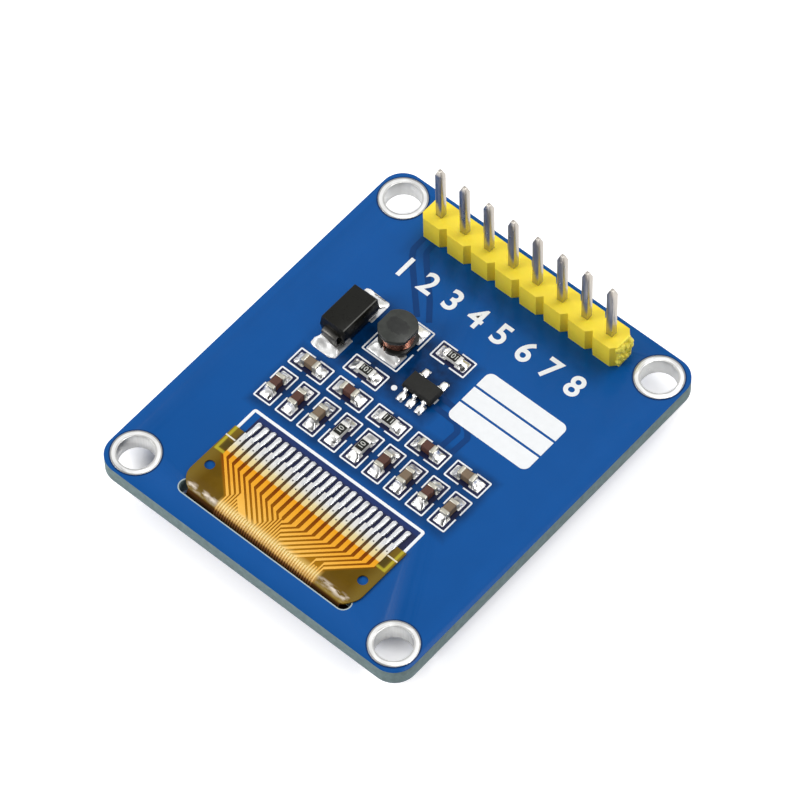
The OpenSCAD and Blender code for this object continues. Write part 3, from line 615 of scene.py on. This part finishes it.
windows = mesh_object("mask_windows", build_windows)
window_finish = finish("bare_laminate", window_color, 0.45, drift=0.2, size=0.6, wear=0.1,
                       bump=0.004, bump_size=0.2, Specular_IOR_Level=0.15)
place = layout(window_finish)
beyond_tips = box_mask(place, (contact_window_middle[0], -7.1, 0), (40, 1.0, 2), 0.12)
stain(window_finish, beyond_tips, tips_color)
dress(windows, window_finish, "solder_mask")


# Mounting hole plating
# Each corner hole is lined with tinned copper that turns out into a flat ring on both faces. The tin
# has a soft, slightly uneven sheen and rounded lips.

def tin_finish(name, color, roughness, drift, lumps, lump_size, metal=1.0):
    """Bright tin or solder with a soft, uneven sheen."""
    return finish(name, color, roughness, drift=drift, size=0.8, wear=0.12, bump=lumps,
                  bump_size=lump_size, Metallic=metal)


hole_tin = tin_finish("plated_tin", (0.90, 0.90, 0.89), 0.34, 0.05, 0.003, 0.4)
place = layout(hole_tin)
folded = vector_absolute(place)
# Darker bands are painted at the ring's outer edge and at the bore's lip: painted shade where the lips
# round over.
for radius, width, tone in ((ring_r, 0.24, 0.42), (hole_r + 0.06, 0.16, 0.6)):
    outer, inner = (line_mask(folded, hole_at, radius + side * width / 2) for side in (1, -1))
    stain(hole_tin, minus(outer, inner), (tone, tone, tone * 0.98))
eased("mounting_hole_plating", "plated_eyelets", 0.018, hole_tin, "tin")
pad_tin = tin_finish("tinned_pads", (0.86, 0.86, 0.87), 0.36, 0.05, 0.006, 0.3, metal=0.75)
dress(nodes["solder_pads"], pad_tin)


# White legend
# Epoxy ink, screened on after the mask: part frames, the cable's frame, a dot, two dashes, the rows of
# a write-on block, and the pins' numbers along the header.

number_h = 2.0
number_y = 10.96
number_weight = 0.058
ink_t = 0.03
capital_share = 0.7

ink_finish = finish("white_ink", (0.86, 0.88, 0.90), 0.5, drift=0.025, size=0.6, bump=0.003, bump_size=0.08)
dress(nodes["silkscreen"], ink_finish)


def lettering(name, words, height, thickness, weight, material):
    """Raised ink characters in millimetres. Each word is its text, its middle and its turn in degrees."""
    pieces = []
    for text, middle, turn in words:
        curve = bpy.data.curves.new(name, "FONT")
        curve.body = text
        curve.align_x = "CENTER"
        curve.align_y = "CENTER"
        curve.size = height * MM / capital_share
        curve.extrude = thickness * MM / 2
        curve.offset = weight * MM
        curve.resolution_u = 6
        mesh = baked(new_object(name, curve))
        facing = Matrix.Rotation(math.radians(turn), 4, "Z")
        mesh.transform(Matrix.Translation(Vector(middle) * MM) @ facing)
        pieces.append(mesh)

    def build(shape):
        for mesh in pieces:
            shape.from_mesh(mesh)
        bmesh.ops.remove_doubles(shape, verts=shape.verts, dist=weld)
    dress(mesh_object(name, build), material, "ink")


pin_names = sorted(name for name in nodes if name.startswith("header_pin_"))
lettering("pin_numbers", [
    (str(k + 1), (seat(name)[0].x, number_y, ink_t / 2), 0) for k, name in enumerate(pin_names)],
    number_h, ink_t, number_weight, ink_finish)


# Pin header
# A yellow moulded strip with notches where it can be snapped, torn at its far end where it was, and
# eight square tinned pins pressed through it, with chamfered tips.

housing_yellow = (0.95, 0.74, 0.045)
torn_yellow_lit = (1.0, 0.84, 0.1)
housing_low, housing_high = box_of("header_housing")
torn_x, torn_y = housing_high.x, (housing_low.y + housing_high.y) / 2
header_finish = finish("yellow_moulding", housing_yellow, 0.35, drift=0.03, size=1.2, wear=0.06,
                       bump=0.006, bump_size=0.18, Specular_IOR_Level=0.25,
                       Subsurface_Weight=0.08, Subsurface_Scale=0.3 * MM)
place = layout(header_finish)
# The torn end is painted a paler, brighter yellow in grainy patches: the raw break's own colour, and partly
# painted light on that face.
torn = box_mask(place, (torn_x, 15.5, 1.27), (0.5, 6, 4), 0.06)
grit = noise_at(place, 5.0, 4.0)[0]
stain(header_finish, smaller(times(torn, times(grit, 2.2)), 1.0), torn_yellow_lit)
feed(header_finish, Normal=bumped(times(times(grit, torn), 0.12), fed(header_finish, "Normal")))
eased("header_housing", "header_moulding", 0.05, header_finish, "header_plastic")

# Copies of one shape, each set down at a seat with its own turn and reach, and swollen unevenly
copies, given = geometry_group("uneven_copies", {
    "Shape": "Object", "Swell": "Float", "Lump size": "Float", "Seed": "Float"})
shape = add_node(copies, "GeometryNodeObjectInfo", {0: given["Shape"]})
turn, reach = (
    output_of(copies, "GeometryNodeInputNamedAttribute", {"Name": name}, data_type=kind)
    for name, kind in (("turn", "FLOAT"), ("reach", "FLOAT_VECTOR")))
settled = output_of(copies, "GeometryNodeInstanceOnPoints", {
    "Points": given["Geometry"], "Instance": shape.outputs["Geometry"],
    "Rotation": output_of(copies, "ShaderNodeCombineXYZ", {"Z": turn}), "Scale": reach})
lumps = output_of(copies, "ShaderNodeTexNoise", {
    "Vector": output_of(copies, "GeometryNodeInputPosition"), "W": given["Seed"],
    "Scale": over(1.0, given["Lump size"]), "Detail": 0.0}, noise_dimensions="4D")
push = scaled(output_of(copies, "GeometryNodeInputNormal"), times(minus(lumps, 0.5), given["Swell"]))
loose = output_of(copies, "GeometryNodeRealizeInstances", {0: settled})
swollen = output_of(copies, "GeometryNodeSetPosition", {0: loose, "Offset": push})
finish_group(swollen, given["Material"])


def set_down(name, seats, shape, material, record_slot, swell, lump_size, seed, stands_for=()):
    """Sets a copy of the shape at each seat. A seat is a place in millimetres, a turn and a reach."""
    points = mesh_object(name + "_seats", lambda made: [
        made.verts.new(Vector(spot) * MM) for spot, _, _ in seats])
    turns = points.data.attributes.new("turn", "FLOAT", "POINT")
    reaches = points.data.attributes.new("reach", "FLOAT_VECTOR", "POINT")
    for k, (_, turn, reach) in enumerate(seats):
        turns.data[k].value = turn
        reaches.data[k].vector = reach
    grown(name, points, copies, material, record_slot, {
        "Shape": shape, "Swell": swell * MM, "Lump size": lump_size * MM, "Seed": seed}, stands_for)
    bpy.data.objects.remove(shape)


def close_tube(shape, rings):
    """Faces between rings of corners, one after the other."""
    for low, high in zip(rings, rings[1:]):
        for i in range(len(low)):
            k = (i + 1) % len(low)
            shape.faces.new((low[i], low[k], high[k], high[i]))


def drop(length, width, height, square=1.0, start=-0.5, steps=(28, 8)):
    """A flattened drop in millimetres, lying along X, rounder or squarer in plan. Start is where it
    begins along X, as a share of its length."""
    def build(shape):
        rings = []
        for j in range(steps[1]):
            up = j / steps[1] * math.pi / 2
            ring = []
            for i in range(steps[0]):
                a = 2 * math.pi * i / steps[0]
                x, y = (math.copysign(abs(part) ** square, part) for part in (math.cos(a), math.sin(a)))
                ring.append(shape.verts.new(Vector((
                    (x * math.cos(up) ** 0.6 / 2 + start + 0.5) * length,
                    y * math.cos(up) ** 0.6 * width / 2,
                    math.sin(up) * height)) * MM))
            rings.append(ring)
        crown = shape.verts.new(Vector(((start + 0.5) * length, 0, height)) * MM)
        close_tube(shape, rings)
        for i in range(steps[0]):
            shape.faces.new((rings[-1][i], rings[-1][(i + 1) % steps[0]], crown))
        shape.faces.new(list(reversed(rings[0])))
    return mesh_object("drop", build)


crumb_count = 30
draw = random.Random(4)
crumbs = []
for _ in range(crumb_count):
    spot = (torn_x - draw.uniform(0.1, 0.26), torn_y + draw.uniform(-0.8, 0.8), draw.uniform(0.1, 2.1))
    size = draw.uniform(0.6, 1.4)
    crumbs.append((spot, draw.uniform(0, math.pi), (size, size, size)))
set_down("torn_crumbs", crumbs, drop(0.5, 0.44, 0.36, steps=(16, 6)), header_finish, "header_plastic",
         swell=0.35, lump_size=0.28, seed=1.0)

pin_finish = finish(
    "bright_pin", (0.50, 0.465, 0.42), 0.3, drift=0.05, size=0.7, wear=0.04, bump=0.0002, Metallic=1.0)
for name in pin_names:
    eased(name, name.replace("header_pin", "drawn_pin"), 0.045, pin_finish, "pin_metal")


# Solder
# Solder wets each part's pads and climbs its end caps in a hollow, uneven slope with a bright skin.
# Each slope thins out towards the pad's far end, and no two swell alike.

solder_tin = tin_finish("bright_solder", (0.96, 0.95, 0.93), 0.31, 0.04, 0.0, 0.3)
joint_tin = tin_finish("joint_solder", (0.97, 0.97, 0.96), 0.38, 0.03, 0.001, 0.3, metal=0.6)
dress(nodes["header_solder"], joint_tin)

thin_edge = 0.07
tip_half = 0.06
root_in_pad = 0.01


def solder_slope(length, widths, height, climb, lean=0.0, steps=(18, 20)):
    """A closed slope of solder in millimetres: it stands against X = 0, as wide as the part there, spreads
    to the pad's width and thins out towards +X. With lean, it climbs higher on its -Y side."""
    def build(shape):
        rows = []
        for i in range(steps[0] + 1):
            u = i / steps[0]
            spread = widths[0] + (widths[1] - widths[0]) * min(1.0, 2.5 * u)
            tip = (1 - max(0.0, (u - 0.7) / 0.3) ** 3) ** 0.5 if i < steps[0] else 0.0
            half = spread / 2 * tip or tip_half
            crest = (thin_edge + (height - thin_edge) * (1 - u) ** climb) * (tip or 0.2)
            square = 2 / (3.2 - 1.2 * min(1.0, 2 * u))
            row = []
            for j in range(steps[1] + 1):
                a = math.pi * j / steps[1]
                v = -math.copysign(abs(math.cos(a)) ** square, math.cos(a))
                up = math.sin(a) ** square * (1 - lean * (v + 0.2)) if 0 < j < steps[1] else 0.0
                row.append(shape.verts.new(Vector((u * length, v * half, crest * up - root_in_pad)) * MM))
            rows.append(row)
        for low, high in zip(rows, rows[1:]):
            for j in range(steps[1]):
                shape.faces.new((low[j], high[j], high[j + 1], low[j + 1]))
            shape.faces.new((low[0], low[-1], high[-1], high[0]))
        shape.faces.new(rows[0])
        shape.faces.new(list(reversed(rows[-1])))
        bmesh.ops.recalc_face_normals(shape, faces=shape.faces)
    return mesh_object("solder_slope", build)


pad_t = box_of("solder_pads")[1].z
chip_half = 0.79
resistor_climb = 0.72
ends = []
for k, name in enumerate(capacitor_names + resistor_names):
    middle, along_x = seat(name)
    tall = 1.0 if name in capacitor_names else resistor_climb
    for side in (0, 1):
        angle = (0 if along_x else math.pi / 2) + side * math.pi
        wobble = noise.noise(Vector((3.1 * k, 7.7 * side, 0.5)))
        spot = (middle.x + chip_half * math.cos(angle), middle.y + chip_half * math.sin(angle), pad_t)
        ends.append((spot, angle, (1.0, 1 + 0.08 * wobble, tall * (1 + 0.35 * wobble))))
set_down("chip_fillets", ends, solder_slope(0.64, (0.82, 1.04), 0.62, 1.5), solder_tin, "tin",
         swell=0.35, lump_size=0.7, seed=2.0, stands_for=["chip_solder"])


# Chip capacitors and resistors
# Capacitors are blocks of brown or tan ceramic with dull silver end caps. Resistors are white ceramic
# tiles with a black glaze that carries a plain number.

brown_ceramic, tan_ceramic = (
    finish(name, color, 0.55, drift=0.08, size=0.3, bump=0.006, bump_size=0.07, Specular_IOR_Level=0.25)
    for name, color in (("brown_ceramic", (0.10, 0.042, 0.030)), ("tan_ceramic", (0.195, 0.14, 0.09))))
slots = {row["node"]: row["material_slot"] for row in frame["record"]["subparts"]}
for name in capacitor_names:
    dress(nodes[name], tan_ceramic if slots[name] == "capacitor_ceramic_pale" else brown_ceramic)


def cap_block(length, width, height, corner):
    """An end cap in millimetres: a rounded block that ends at X = 0 and stands on the pad."""
    def build(shape):
        flat_field(shape, (-length / 2, 0), (length, width), height)
        bmesh.ops.bevel(
            shape, geom=shape.edges[:], offset=corner * MM, segments=4, affect="EDGES", profile=0.5)
    return mesh_object("cap_block", build)


cap_tin = tin_finish("dull_end_caps", (0.52, 0.50, 0.43), 0.42, 0.1, 0.004, 0.15)
cap_seats = [(spot, angle, (1, 1, 1)) for spot, angle, _ in ends[:2 * len(capacitor_names)]]
set_down("capacitor_end_caps", cap_seats, cap_block(0.4, 0.83, 0.815, 0.1), cap_tin, "tin",
         swell=0.05, lump_size=0.5, seed=3.0, stands_for=["capacitor_terminals"])
eased("resistor_terminals", "resistor_end_caps", 0.04, tin_finish(
    "bright_end_caps", (0.80, 0.79, 0.76), 0.3, 0.06, 0.004, 0.12), "tin")

alumina = finish("white_alumina", (0.78, 0.77, 0.72), 0.6, drift=0.04, size=0.3, bump=0.004, bump_size=0.05)
for name in resistor_names:
    dress(nodes[name], alumina)
dress(nodes["resistor_glaze"], finish(
    "black_glaze", (0.012, 0.012, 0.011), 0.35, drift=0.1, size=0.3, wear=0.08,
    bump=0.003, Specular_IOR_Level=0.2))

marks = ("111", "10", "10", "101", "101")
mark_t = 0.006
mark_h = 0.46
mark_weight = 0.006
glaze_t = 0.03
mark_finish = finish("pale_mark", (0.55, 0.56, 0.52), 0.5, drift=0.05, size=0.2, bump=0.001, bump_size=0.05)
spots = []
for name, text in zip(resistor_names, marks):
    middle, along_x = seat(name)
    mark_z = box_of(name)[1].z + glaze_t + mark_t / 2
    spots.append((text, (middle.x, middle.y, mark_z), 0 if along_x else 90))
lettering("resistor_numbers", spots, mark_h, mark_t, mark_weight, mark_finish)


# Step-up converter
# A small black moulded body with five bright gull-wing leads. Solder pools round each foot like a
# flattened drop.

def mould_finish(name, color, roughness, bump):
    """Black moulding compound with the fine matt grain of a spark-eroded mould."""
    return finish(name, color, roughness, drift=0.12, size=0.5, bump=bump, bump_size=0.06,
                  Specular_IOR_Level=0.15)


foot_reach = 1.38
foot_pitch = 0.95
foot_places = ((-1, -1), (0, -1), (1, -1), (-1, 1), (1, 1))
eased("converter_body", "converter_moulding", 0.04, mould_finish(
    "converter_compound", (0.022, 0.022, 0.020), 0.5, 0.005), "moulding_black")
eased("converter_leads", "converter_gull_wings", 0.025, tin_finish(
    "lead_tin", (0.86, 0.86, 0.85), 0.24, 0.05, 0.002, 0.1), "tin")
conv_mid = seat("converter_body")[0]
feet = []
for column, row in foot_places:
    spot = (conv_mid.x + column * foot_pitch, conv_mid.y + row * foot_reach, pad_t)
    feet.append((spot, row * math.pi / 2, (1, 1, 1)))
set_down("converter_solder", feet, drop(1.04, 0.68, 0.2, square=0.75), solder_tin, "tin",
         swell=0.08, lump_size=0.7, seed=5.0)


# Diode
# A black moulded block with slanted sides, with a pale line painted along its long +X top edge as a
# highlight.
# Two wide leads come out at half its height and fold under it onto large tinned pads.

diode_slant = 0.14
highlight_line_size = (0.11, 0.12)
diode_low, diode_high = box_of("diode_body")
diode_finish = mould_finish("diode_compound", (0.009, 0.009, 0.007), 0.3, 0.003)
place = layout(diode_finish)
# A pale line painted along the +X top edge: a painted highlight.
painted_edge_highlight = box_mask(
    place, (diode_high.x - diode_slant, (diode_low.y + diode_high.y) / 2, diode_high.z),
    (highlight_line_size[0], diode_high.y - diode_low.y - 2 * diode_slant, highlight_line_size[1]), 0.03)
stain(diode_finish, painted_edge_highlight, (0.14, 0.14, 0.13))
eased("diode_body", "diode_moulding", 0.06, diode_finish, "moulding_black")
# The diode's leads and the inductor's terminals get tin painted near black: painted shade, as they lie
# under the bodies above them.
shade_dark_tin = tin_finish("lead_tin_dark_as_shade", (0.13, 0.125, 0.115), 0.4, 0.1, 0.003, 0.15)
eased("diode_leads", "diode_folded_leads", 0.03, shade_dark_tin, "tin")

lead_low, lead_high = box_of("diode_leads")
lead_mid_x = (lead_low.x + lead_high.x) / 2
toe_sink = 0.02
toes = [
    ((lead_mid_x, lead_low.y + toe_sink, pad_t), -math.pi / 2, (1, 1, 1)),
    ((lead_mid_x, lead_high.y - toe_sink, pad_t), math.pi / 2, (1, 1, 0.3)),
]
set_down("diode_solder", toes, solder_slope(0.98, (1.9, 2.5), 0.62, 1.7, lean=0.6), joint_tin, "tin",
         swell=0.4, lump_size=0.9, seed=8.0)


# Inductor
# A grey ferrite drum, wound with enamelled copper wire whose two ends drop through grooves in the lower
# flange to the tinned terminals under it.

core_low, core_high = box_of("inductor_core")
coil_mid = (core_low + core_high) / 2
ferrite = finish("grey_ferrite", (0.028, 0.031, 0.027), 0.34, drift=0.3, size=0.7, wear=0.08,
                 bump=0.014, bump_size=0.12, Specular_IOR_Level=0.4)
place = layout(ferrite)
smudge = noise_at(place, 2.6, 3.0)
ragged = vector_times_plus(smudge[1], (0.9, 0.9, 0.0), place)
stained = line_mask(ragged, (coil_mid.x + 0.45, coil_mid.y + 0.45, 0), 0.68, 0.3)
stain(ferrite, times(stained, plus(smudge[0], 0.3)), (0.010, 0.011, 0.010))
# The lower flange is painted darker: painted shade under the winding and the top flange.
painted_shade_low = box_mask(place, (coil_mid.x, coil_mid.y, core_low.z), (6, 6, 1.6), 0.1)
stain(ferrite, painted_shade_low, (0.006, 0.005, 0.005), 0.75)
eased("inductor_core", "ferrite_drum", 0.07, ferrite, "ferrite")
# The terminals take the tin that is painted dark as shade.
dress(nodes["inductor_terminals"], shade_dark_tin)

pool_y = 1.32
pools = [((coil_mid.x, coil_mid.y + row * pool_y, pad_t), row * math.pi / 2, (1, 1, 1)) for row in (-1, 1)]
set_down("inductor_solder", pools, solder_slope(0.9, (2.6, 2.95), 0.3, 1.0, lean=0.4), joint_tin, "tin",
         swell=0.3, lump_size=0.8, seed=3.0)

winding, given = geometry_group("winding", {
    "Turns": "Float", "Radius": "Float", "Height": "Float", "Wire": "Float", "Middle": "Vector"})
coil = output_of(winding, "GeometryNodeCurveSpiral", {
    "Resolution": 48, "Rotations": given["Turns"], "Start Radius": given["Radius"],
    "End Radius": given["Radius"], "Height": given["Height"]})
wire = output_of(winding, "GeometryNodeCurvePrimitiveCircle", {
    "Resolution": 12, "Radius": given["Wire"]}, mode="RADIUS")
wound = output_of(winding, "GeometryNodeCurveToMesh", {
    "Curve": coil, "Profile Curve": wire, "Fill Caps": True})
seated = output_of(winding, "GeometryNodeTransform", {0: wound, "Translation": given["Middle"]})
both = add_node(winding, "GeometryNodeJoinGeometry", {0: seated})
winding.links.new(given["Geometry"], both.inputs[0])
finish_group(both.outputs[0], given["Material"])

wire_d = 0.2
wire_exit = -0.25
flange_t = 0.42
coil_r = 1.3
coil_h = core_high.z - core_low.z - 2 * flange_t - wire_d


def build_tails(shape):
    """The wire's two ends, bent over the drum's groove down to the terminals."""
    for side in (1, -1):
        route = [Vector(((wire_exit + aside) * side, -(coil_r + out) * side, core_low.z + up))
                 for aside, out, up in ((-0.14, 0, flange_t + 0.15), (-0.02, 0.1, 0.35), (0.1, 0.2, 0.06))]
        rings = []
        for k, point in enumerate(route):
            along = (route[min(k + 1, 2)] - route[max(k - 1, 0)]).normalized()
            across = along.orthogonal().normalized()
            aslant = along.cross(across)
            ring = []
            for i in range(12):
                a = 2 * math.pi * i / 12
                off = (across * math.cos(a) + aslant * math.sin(a)) * wire_d / 2
                ring.append(shape.verts.new((point + off + Vector((coil_mid.x, coil_mid.y, 0))) * MM))
            rings.append(ring)
        close_tube(shape, rings)
        shape.faces.new(list(reversed(rings[0])))
        shape.faces.new(rings[-1])
    bmesh.ops.recalc_face_normals(shape, faces=shape.faces)


enamel = finish("enamelled_copper", (0.17, 0.05, 0.02), 0.2, drift=0.1, size=0.6,
                bump=0.0003, bump_size=0.2, Metallic=1.0, Coat_Weight=1.0, Coat_Roughness=0.2)
grown("copper_winding", mesh_object("wire_tails", build_tails), winding, enamel, "enamelled_copper", {
    "Turns": coil_h / wire_d, "Radius": coil_r * MM, "Height": coil_h * MM, "Wire": wire_d / 2 * MM,
    "Middle": Vector((coil_mid.x, coil_mid.y, core_low.z + flange_t + wire_d / 2)) * MM},
    ["inductor_winding"])


# Flex cable
# Amber film that carries 23 copper traces from the board's contacts over the fold to the panel. The
# contacts are tinned where they are soldered, gilded behind that, and covered with amber film beyond.

contact_count = 23
contact_pitch = 0.7055
cable_x, cable_turn_y, cable_turn = -0.14, -13.27, math.radians(-0.7)
board_contact_x, contact_tip_y = 0.09, -7.66
tin_end_y, gold_end_y = -10.25, -11.31
cable_end_y, cable_start_y = -16.2, -8.9
fold_start_y = -14.3
slot_mouth = (-0.06, -0.19)
fold_bulge = 0.12
trace_t = 0.03
trace_top = box_of("flex_film")[1].z + trace_t


def along_cable(place, stops):
    """A colour that changes down the cable. Each stop is a place along Y in millimetres and a colour."""
    share = fade(sides_of(place)[1], cable_end_y, cable_start_y)
    return ramp(share, [((at - cable_end_y) / (cable_start_y - cable_end_y), tone) for at, tone in stops])


def over_fold(material, place, color, slot_shade_tone, grains, coat):
    """Feeds a cable finish, which springs up glossy before the fold, and whose colour is painted dark as
    shade where it goes down into the slot.
    """
    sides = sides_of(place)
    near_fold = larger(minus(fold_start_y, sides[1]), 0.0)
    ripple = noise_at(place, 0.7, 1.5)[0]
    lift = plus(times(power(near_fold, 2.0), -fold_bulge), times(times(ripple, near_fold), 0.12))
    # Down into the slot the colour is painted dark: painted shade.
    painted_slot_shade = fade(sides[2], *slot_mouth)
    shine = times(fade(near_fold, 0.1, 0.7), minus(1.0, painted_slot_shade))
    feed(material, Base_Color=tint(color, painted_slot_shade, slot_shade_tone, 0.92), Roughness=grains["Roughness"],
         Normal=bumped(lift, grains["Normal"]), Coat_Weight=times(shine, coat))


film_finish = finish("amber_film", (0.15, 0.085, 0.012), 0.25, Specular_IOR_Level=0.05, Coat_Roughness=0.12)
place = layout(film_finish)
olive = grain_of(
    place.id_data, (0.128, 0.069, 0.003), 0.25, drift=0.2, size=1.8, wear=0.06, bump=0.003, bump_size=1.2)
rim = minus(1.0, box_mask(place, (cable_x, -12.6, 0), (16.3, 5.8, 10), 0.5))
color = tint(olive["Color"], rim, (0.20, 0.135, 0.022), 0.7)

# Between the traces, the fan that they make narrows towards the fold
fan_top_y, fan_slope, fan_half, fold_half = -11.9, -1.04, 8.05, 5.25
sides = sides_of(place)
across = absolute(minus(sides[0], cable_x))
narrowing = times(larger(minus(fan_top_y, sides[1]), 0.0), fan_slope)
in_fan = fade(minus(across, larger(plus(narrowing, fan_half), fold_half)), 0.15, -0.15)
# Down the cable the film between the traces changes tone; the pale band near -15.3 is a painted highlight
# where the film turns over the fold.
gap_tones_with_fold_highlight = along_cable(place, (
    (-9.3, (0.022, 0.026, 0.055)), (-10.2, (0.05, 0.042, 0.03)), (-11.15, (0.16, 0.065, 0.008)),
    (-11.4, (0.19, 0.036, 0.0003)), (-12.8, (0.26, 0.08, 0.001)), (-14.7, (0.36, 0.16, 0.004)),
    (-15.3, (0.72, 0.50, 0.14)), (-15.75, (0.60, 0.30, 0.05))))
color = blend(in_fan, color, gap_tones_with_fold_highlight)

# The board's printed frame and the dark holes in it show through the film at both shoulders
for size, softness, tone, share, spots in (
        ((0.26, 2.7, 10), 0.05, (0.46, 0.38, 0.03), 0.9, ((-8.93, -10.4, 0), (8.65, -10.4, 0))),
        ((0.9, 0.26, 10), 0.05, (0.46, 0.38, 0.03), 0.9, ((-8.5, -11.62, 0), (8.2, -11.62, 0))),
        ((0.62, 0.95, 10), 0.12, (0.06, 0.045, 0.010), 0.75, ((-8.42, -10.95, 0), (8.13, -11.05, 0)))):
    for middle in spots:
        color = tint(color, box_mask(place, middle, size, softness), tone, share)

# Outside the fan, the folded film is rolled to a gold edge, and pale streaks at its corners are painted
# glints
painted_glint_streaks = noise_at(vector_times(place, (0.8, 2.2, 1.0)), 1.3, 5.0)[0]
past_fan = minus(1.0, box_mask(place, (cable_x, -15.3, 0), (10.6, 3.0, 10), 0.3))
glint_corners = times(box_mask(place, (cable_x, -15.45, 0), (16.6, 0.4, 10), 0.16), past_fan)
rolled = times(box_mask(place, (cable_x, -16.0, 0), (18, 0.7, 10), 0.2), past_fan)
color = tint(color, rolled, (0.42, 0.27, 0.04), 0.7)
color = tint(color, times(fade(painted_glint_streaks, 0.42, 0.60), glint_corners), (0.85, 0.74, 0.62))
over_fold(film_finish, place, color, (0.075, 0.022, 0.008), olive, coat=0.15)
dress(nodes["flex_film"], film_finish)

trace_finish = finish("copper_traces", (0.88, 0.42, 0.03), 0.42, Metallic=0.12, Specular_IOR_Level=0.1,
                      Coat_Roughness=0.12)
place = layout(trace_finish)
soft = grain_of(
    place.id_data, (1, 1, 1), 0.42, drift=0.03, size=0.8, wear=0.05, bump=0.002, bump_size=0.4)
# The traces run from tin through gold to copper; the pale band at the fold, near -15.35, is a painted
# highlight.
trace_tones_with_fold_highlight = along_cable(place, (
    (-15.8, (0.88, 0.54, 0.16)), (-15.35, (0.96, 0.76, 0.36)), (-14.9, (0.91, 0.52, 0.10)),
    (-13.2, (0.85, 0.41, 0.04)), (-12.1, (0.83, 0.37, 0.02)), (gold_end_y - 0.04, (0.82, 0.35, 0.012)),
    (gold_end_y + 0.04, (0.77, 0.59, 0.24)), (-10.7, (0.77, 0.64, 0.33)),
    (tin_end_y - 0.1, (0.75, 0.70, 0.56)), (-9.95, (0.73, 0.72, 0.70))))
grained_trace_tones = vector_times(trace_tones_with_fold_highlight, soft["Color"])
over_fold(trace_finish, place, grained_trace_tones, (0.22, 0.07, 0.022), soft, coat=0.12)
dress(nodes["flex_traces"], trace_finish)


def on_cable(x, y):
    """Where a point of the cable's own layout lies, as the cable was laid with a slight turn."""
    across, along = x, y - cable_turn_y
    return (cable_x + across * math.cos(cable_turn) - along * math.sin(cable_turn),
            cable_turn_y + across * math.sin(cable_turn) + along * math.cos(cable_turn))


# Solder runs from each tip of the board's contacts over the cable's own, and open vias lie in two rows
via_y, via_step = -10.1, 0.46
tip_stagger = 0.06
beads, vias = [], []
for k in range(contact_count):
    step = (k - (contact_count - 1) / 2) * contact_pitch
    jitter = noise.noise(Vector((1.7 * k, 0.3, 4.0)))
    tip = (board_contact_x + step, contact_tip_y + tip_stagger * (k * 7 % 3 - 1))
    foot = on_cable(step + 0.04, tin_end_y + 0.2 + 0.6 * jitter)
    angle = math.atan2(foot[1] - tip[1], foot[0] - tip[0])
    beads.append(((*tip, pad_t), angle, (math.dist(foot, tip), 1.0 + 0.15 * jitter, 1.0)))
    vias.append(((*on_cable(step + 0.03 * jitter, via_y - via_step * (k % 2)), trace_top), 0.0, (1, 1, 1)))
bead_h = trace_top + 0.05 - pad_t
contact_tin = tin_finish("contact_solder", (0.72, 0.73, 0.74), 0.36, 0.06, 0.004, 0.3, metal=0.5)
set_down("contact_solder", beads, drop(1.0, 0.40, bead_h, square=0.35, start=0.0, steps=(36, 8)),
         contact_tin, "tin", swell=0.12, lump_size=0.45, seed=11.0)
via_finish = finish("open_via", (0.10, 0.09, 0.07), 0.5, drift=0.1, size=0.2, bump=0.001, bump_size=0.05)
set_down("contact_vias", vias, drop(0.13, 0.13, 0.06, steps=(10, 3)), via_finish, "flex_copper",
         swell=0.0, lump_size=0.5, seed=1.0)


# Display panel
# Two sheets of glass with the light-giving layers between them, a dark polarising film on the front, a
# driver chip on the ledge where the cable is bonded, and foam tape that holds it to the board.

lit_w, lit_l = 20.1, 13.4
glass = finish("panel_glass", (0.80, 0.90, 0.88), 0.03, Transmission_Weight=1.0, IOR=1.5)
dress(nodes["display_glass"], glass)
dress(nodes["display_cover_glass"], glass)

film_mid = seat("display_polariser")[0]
polariser = finish("polarising_film", (0.012, 0.012, 0.015), 0.12, drift=0.05, size=4.0, wear=0.02,
                   bump=0.0006, bump_size=0.6, Coat_Weight=0.5, Coat_Roughness=0.03)
place = layout(polariser)
active = box_mask(place, (film_mid.x, film_mid.y, 0), (lit_w, lit_l, 20), 0.03)
stain(polariser, active, (0.003, 0.003, 0.006))
eased("display_polariser", "polariser_sheet", 0.04, polariser, "polariser")

dress(nodes["driver_chip"], finish(
    "polished_silicon", (0.06, 0.06, 0.075), 0.15, drift=0.05, wear=0.03, bump=0.0005, bump_size=0.3))
dress(nodes["foam_tape"], finish(
    "foam_tape", (0.72, 0.72, 0.69), 0.9, drift=0.08, size=0.6, bump=0.04, bump_size=0.18))
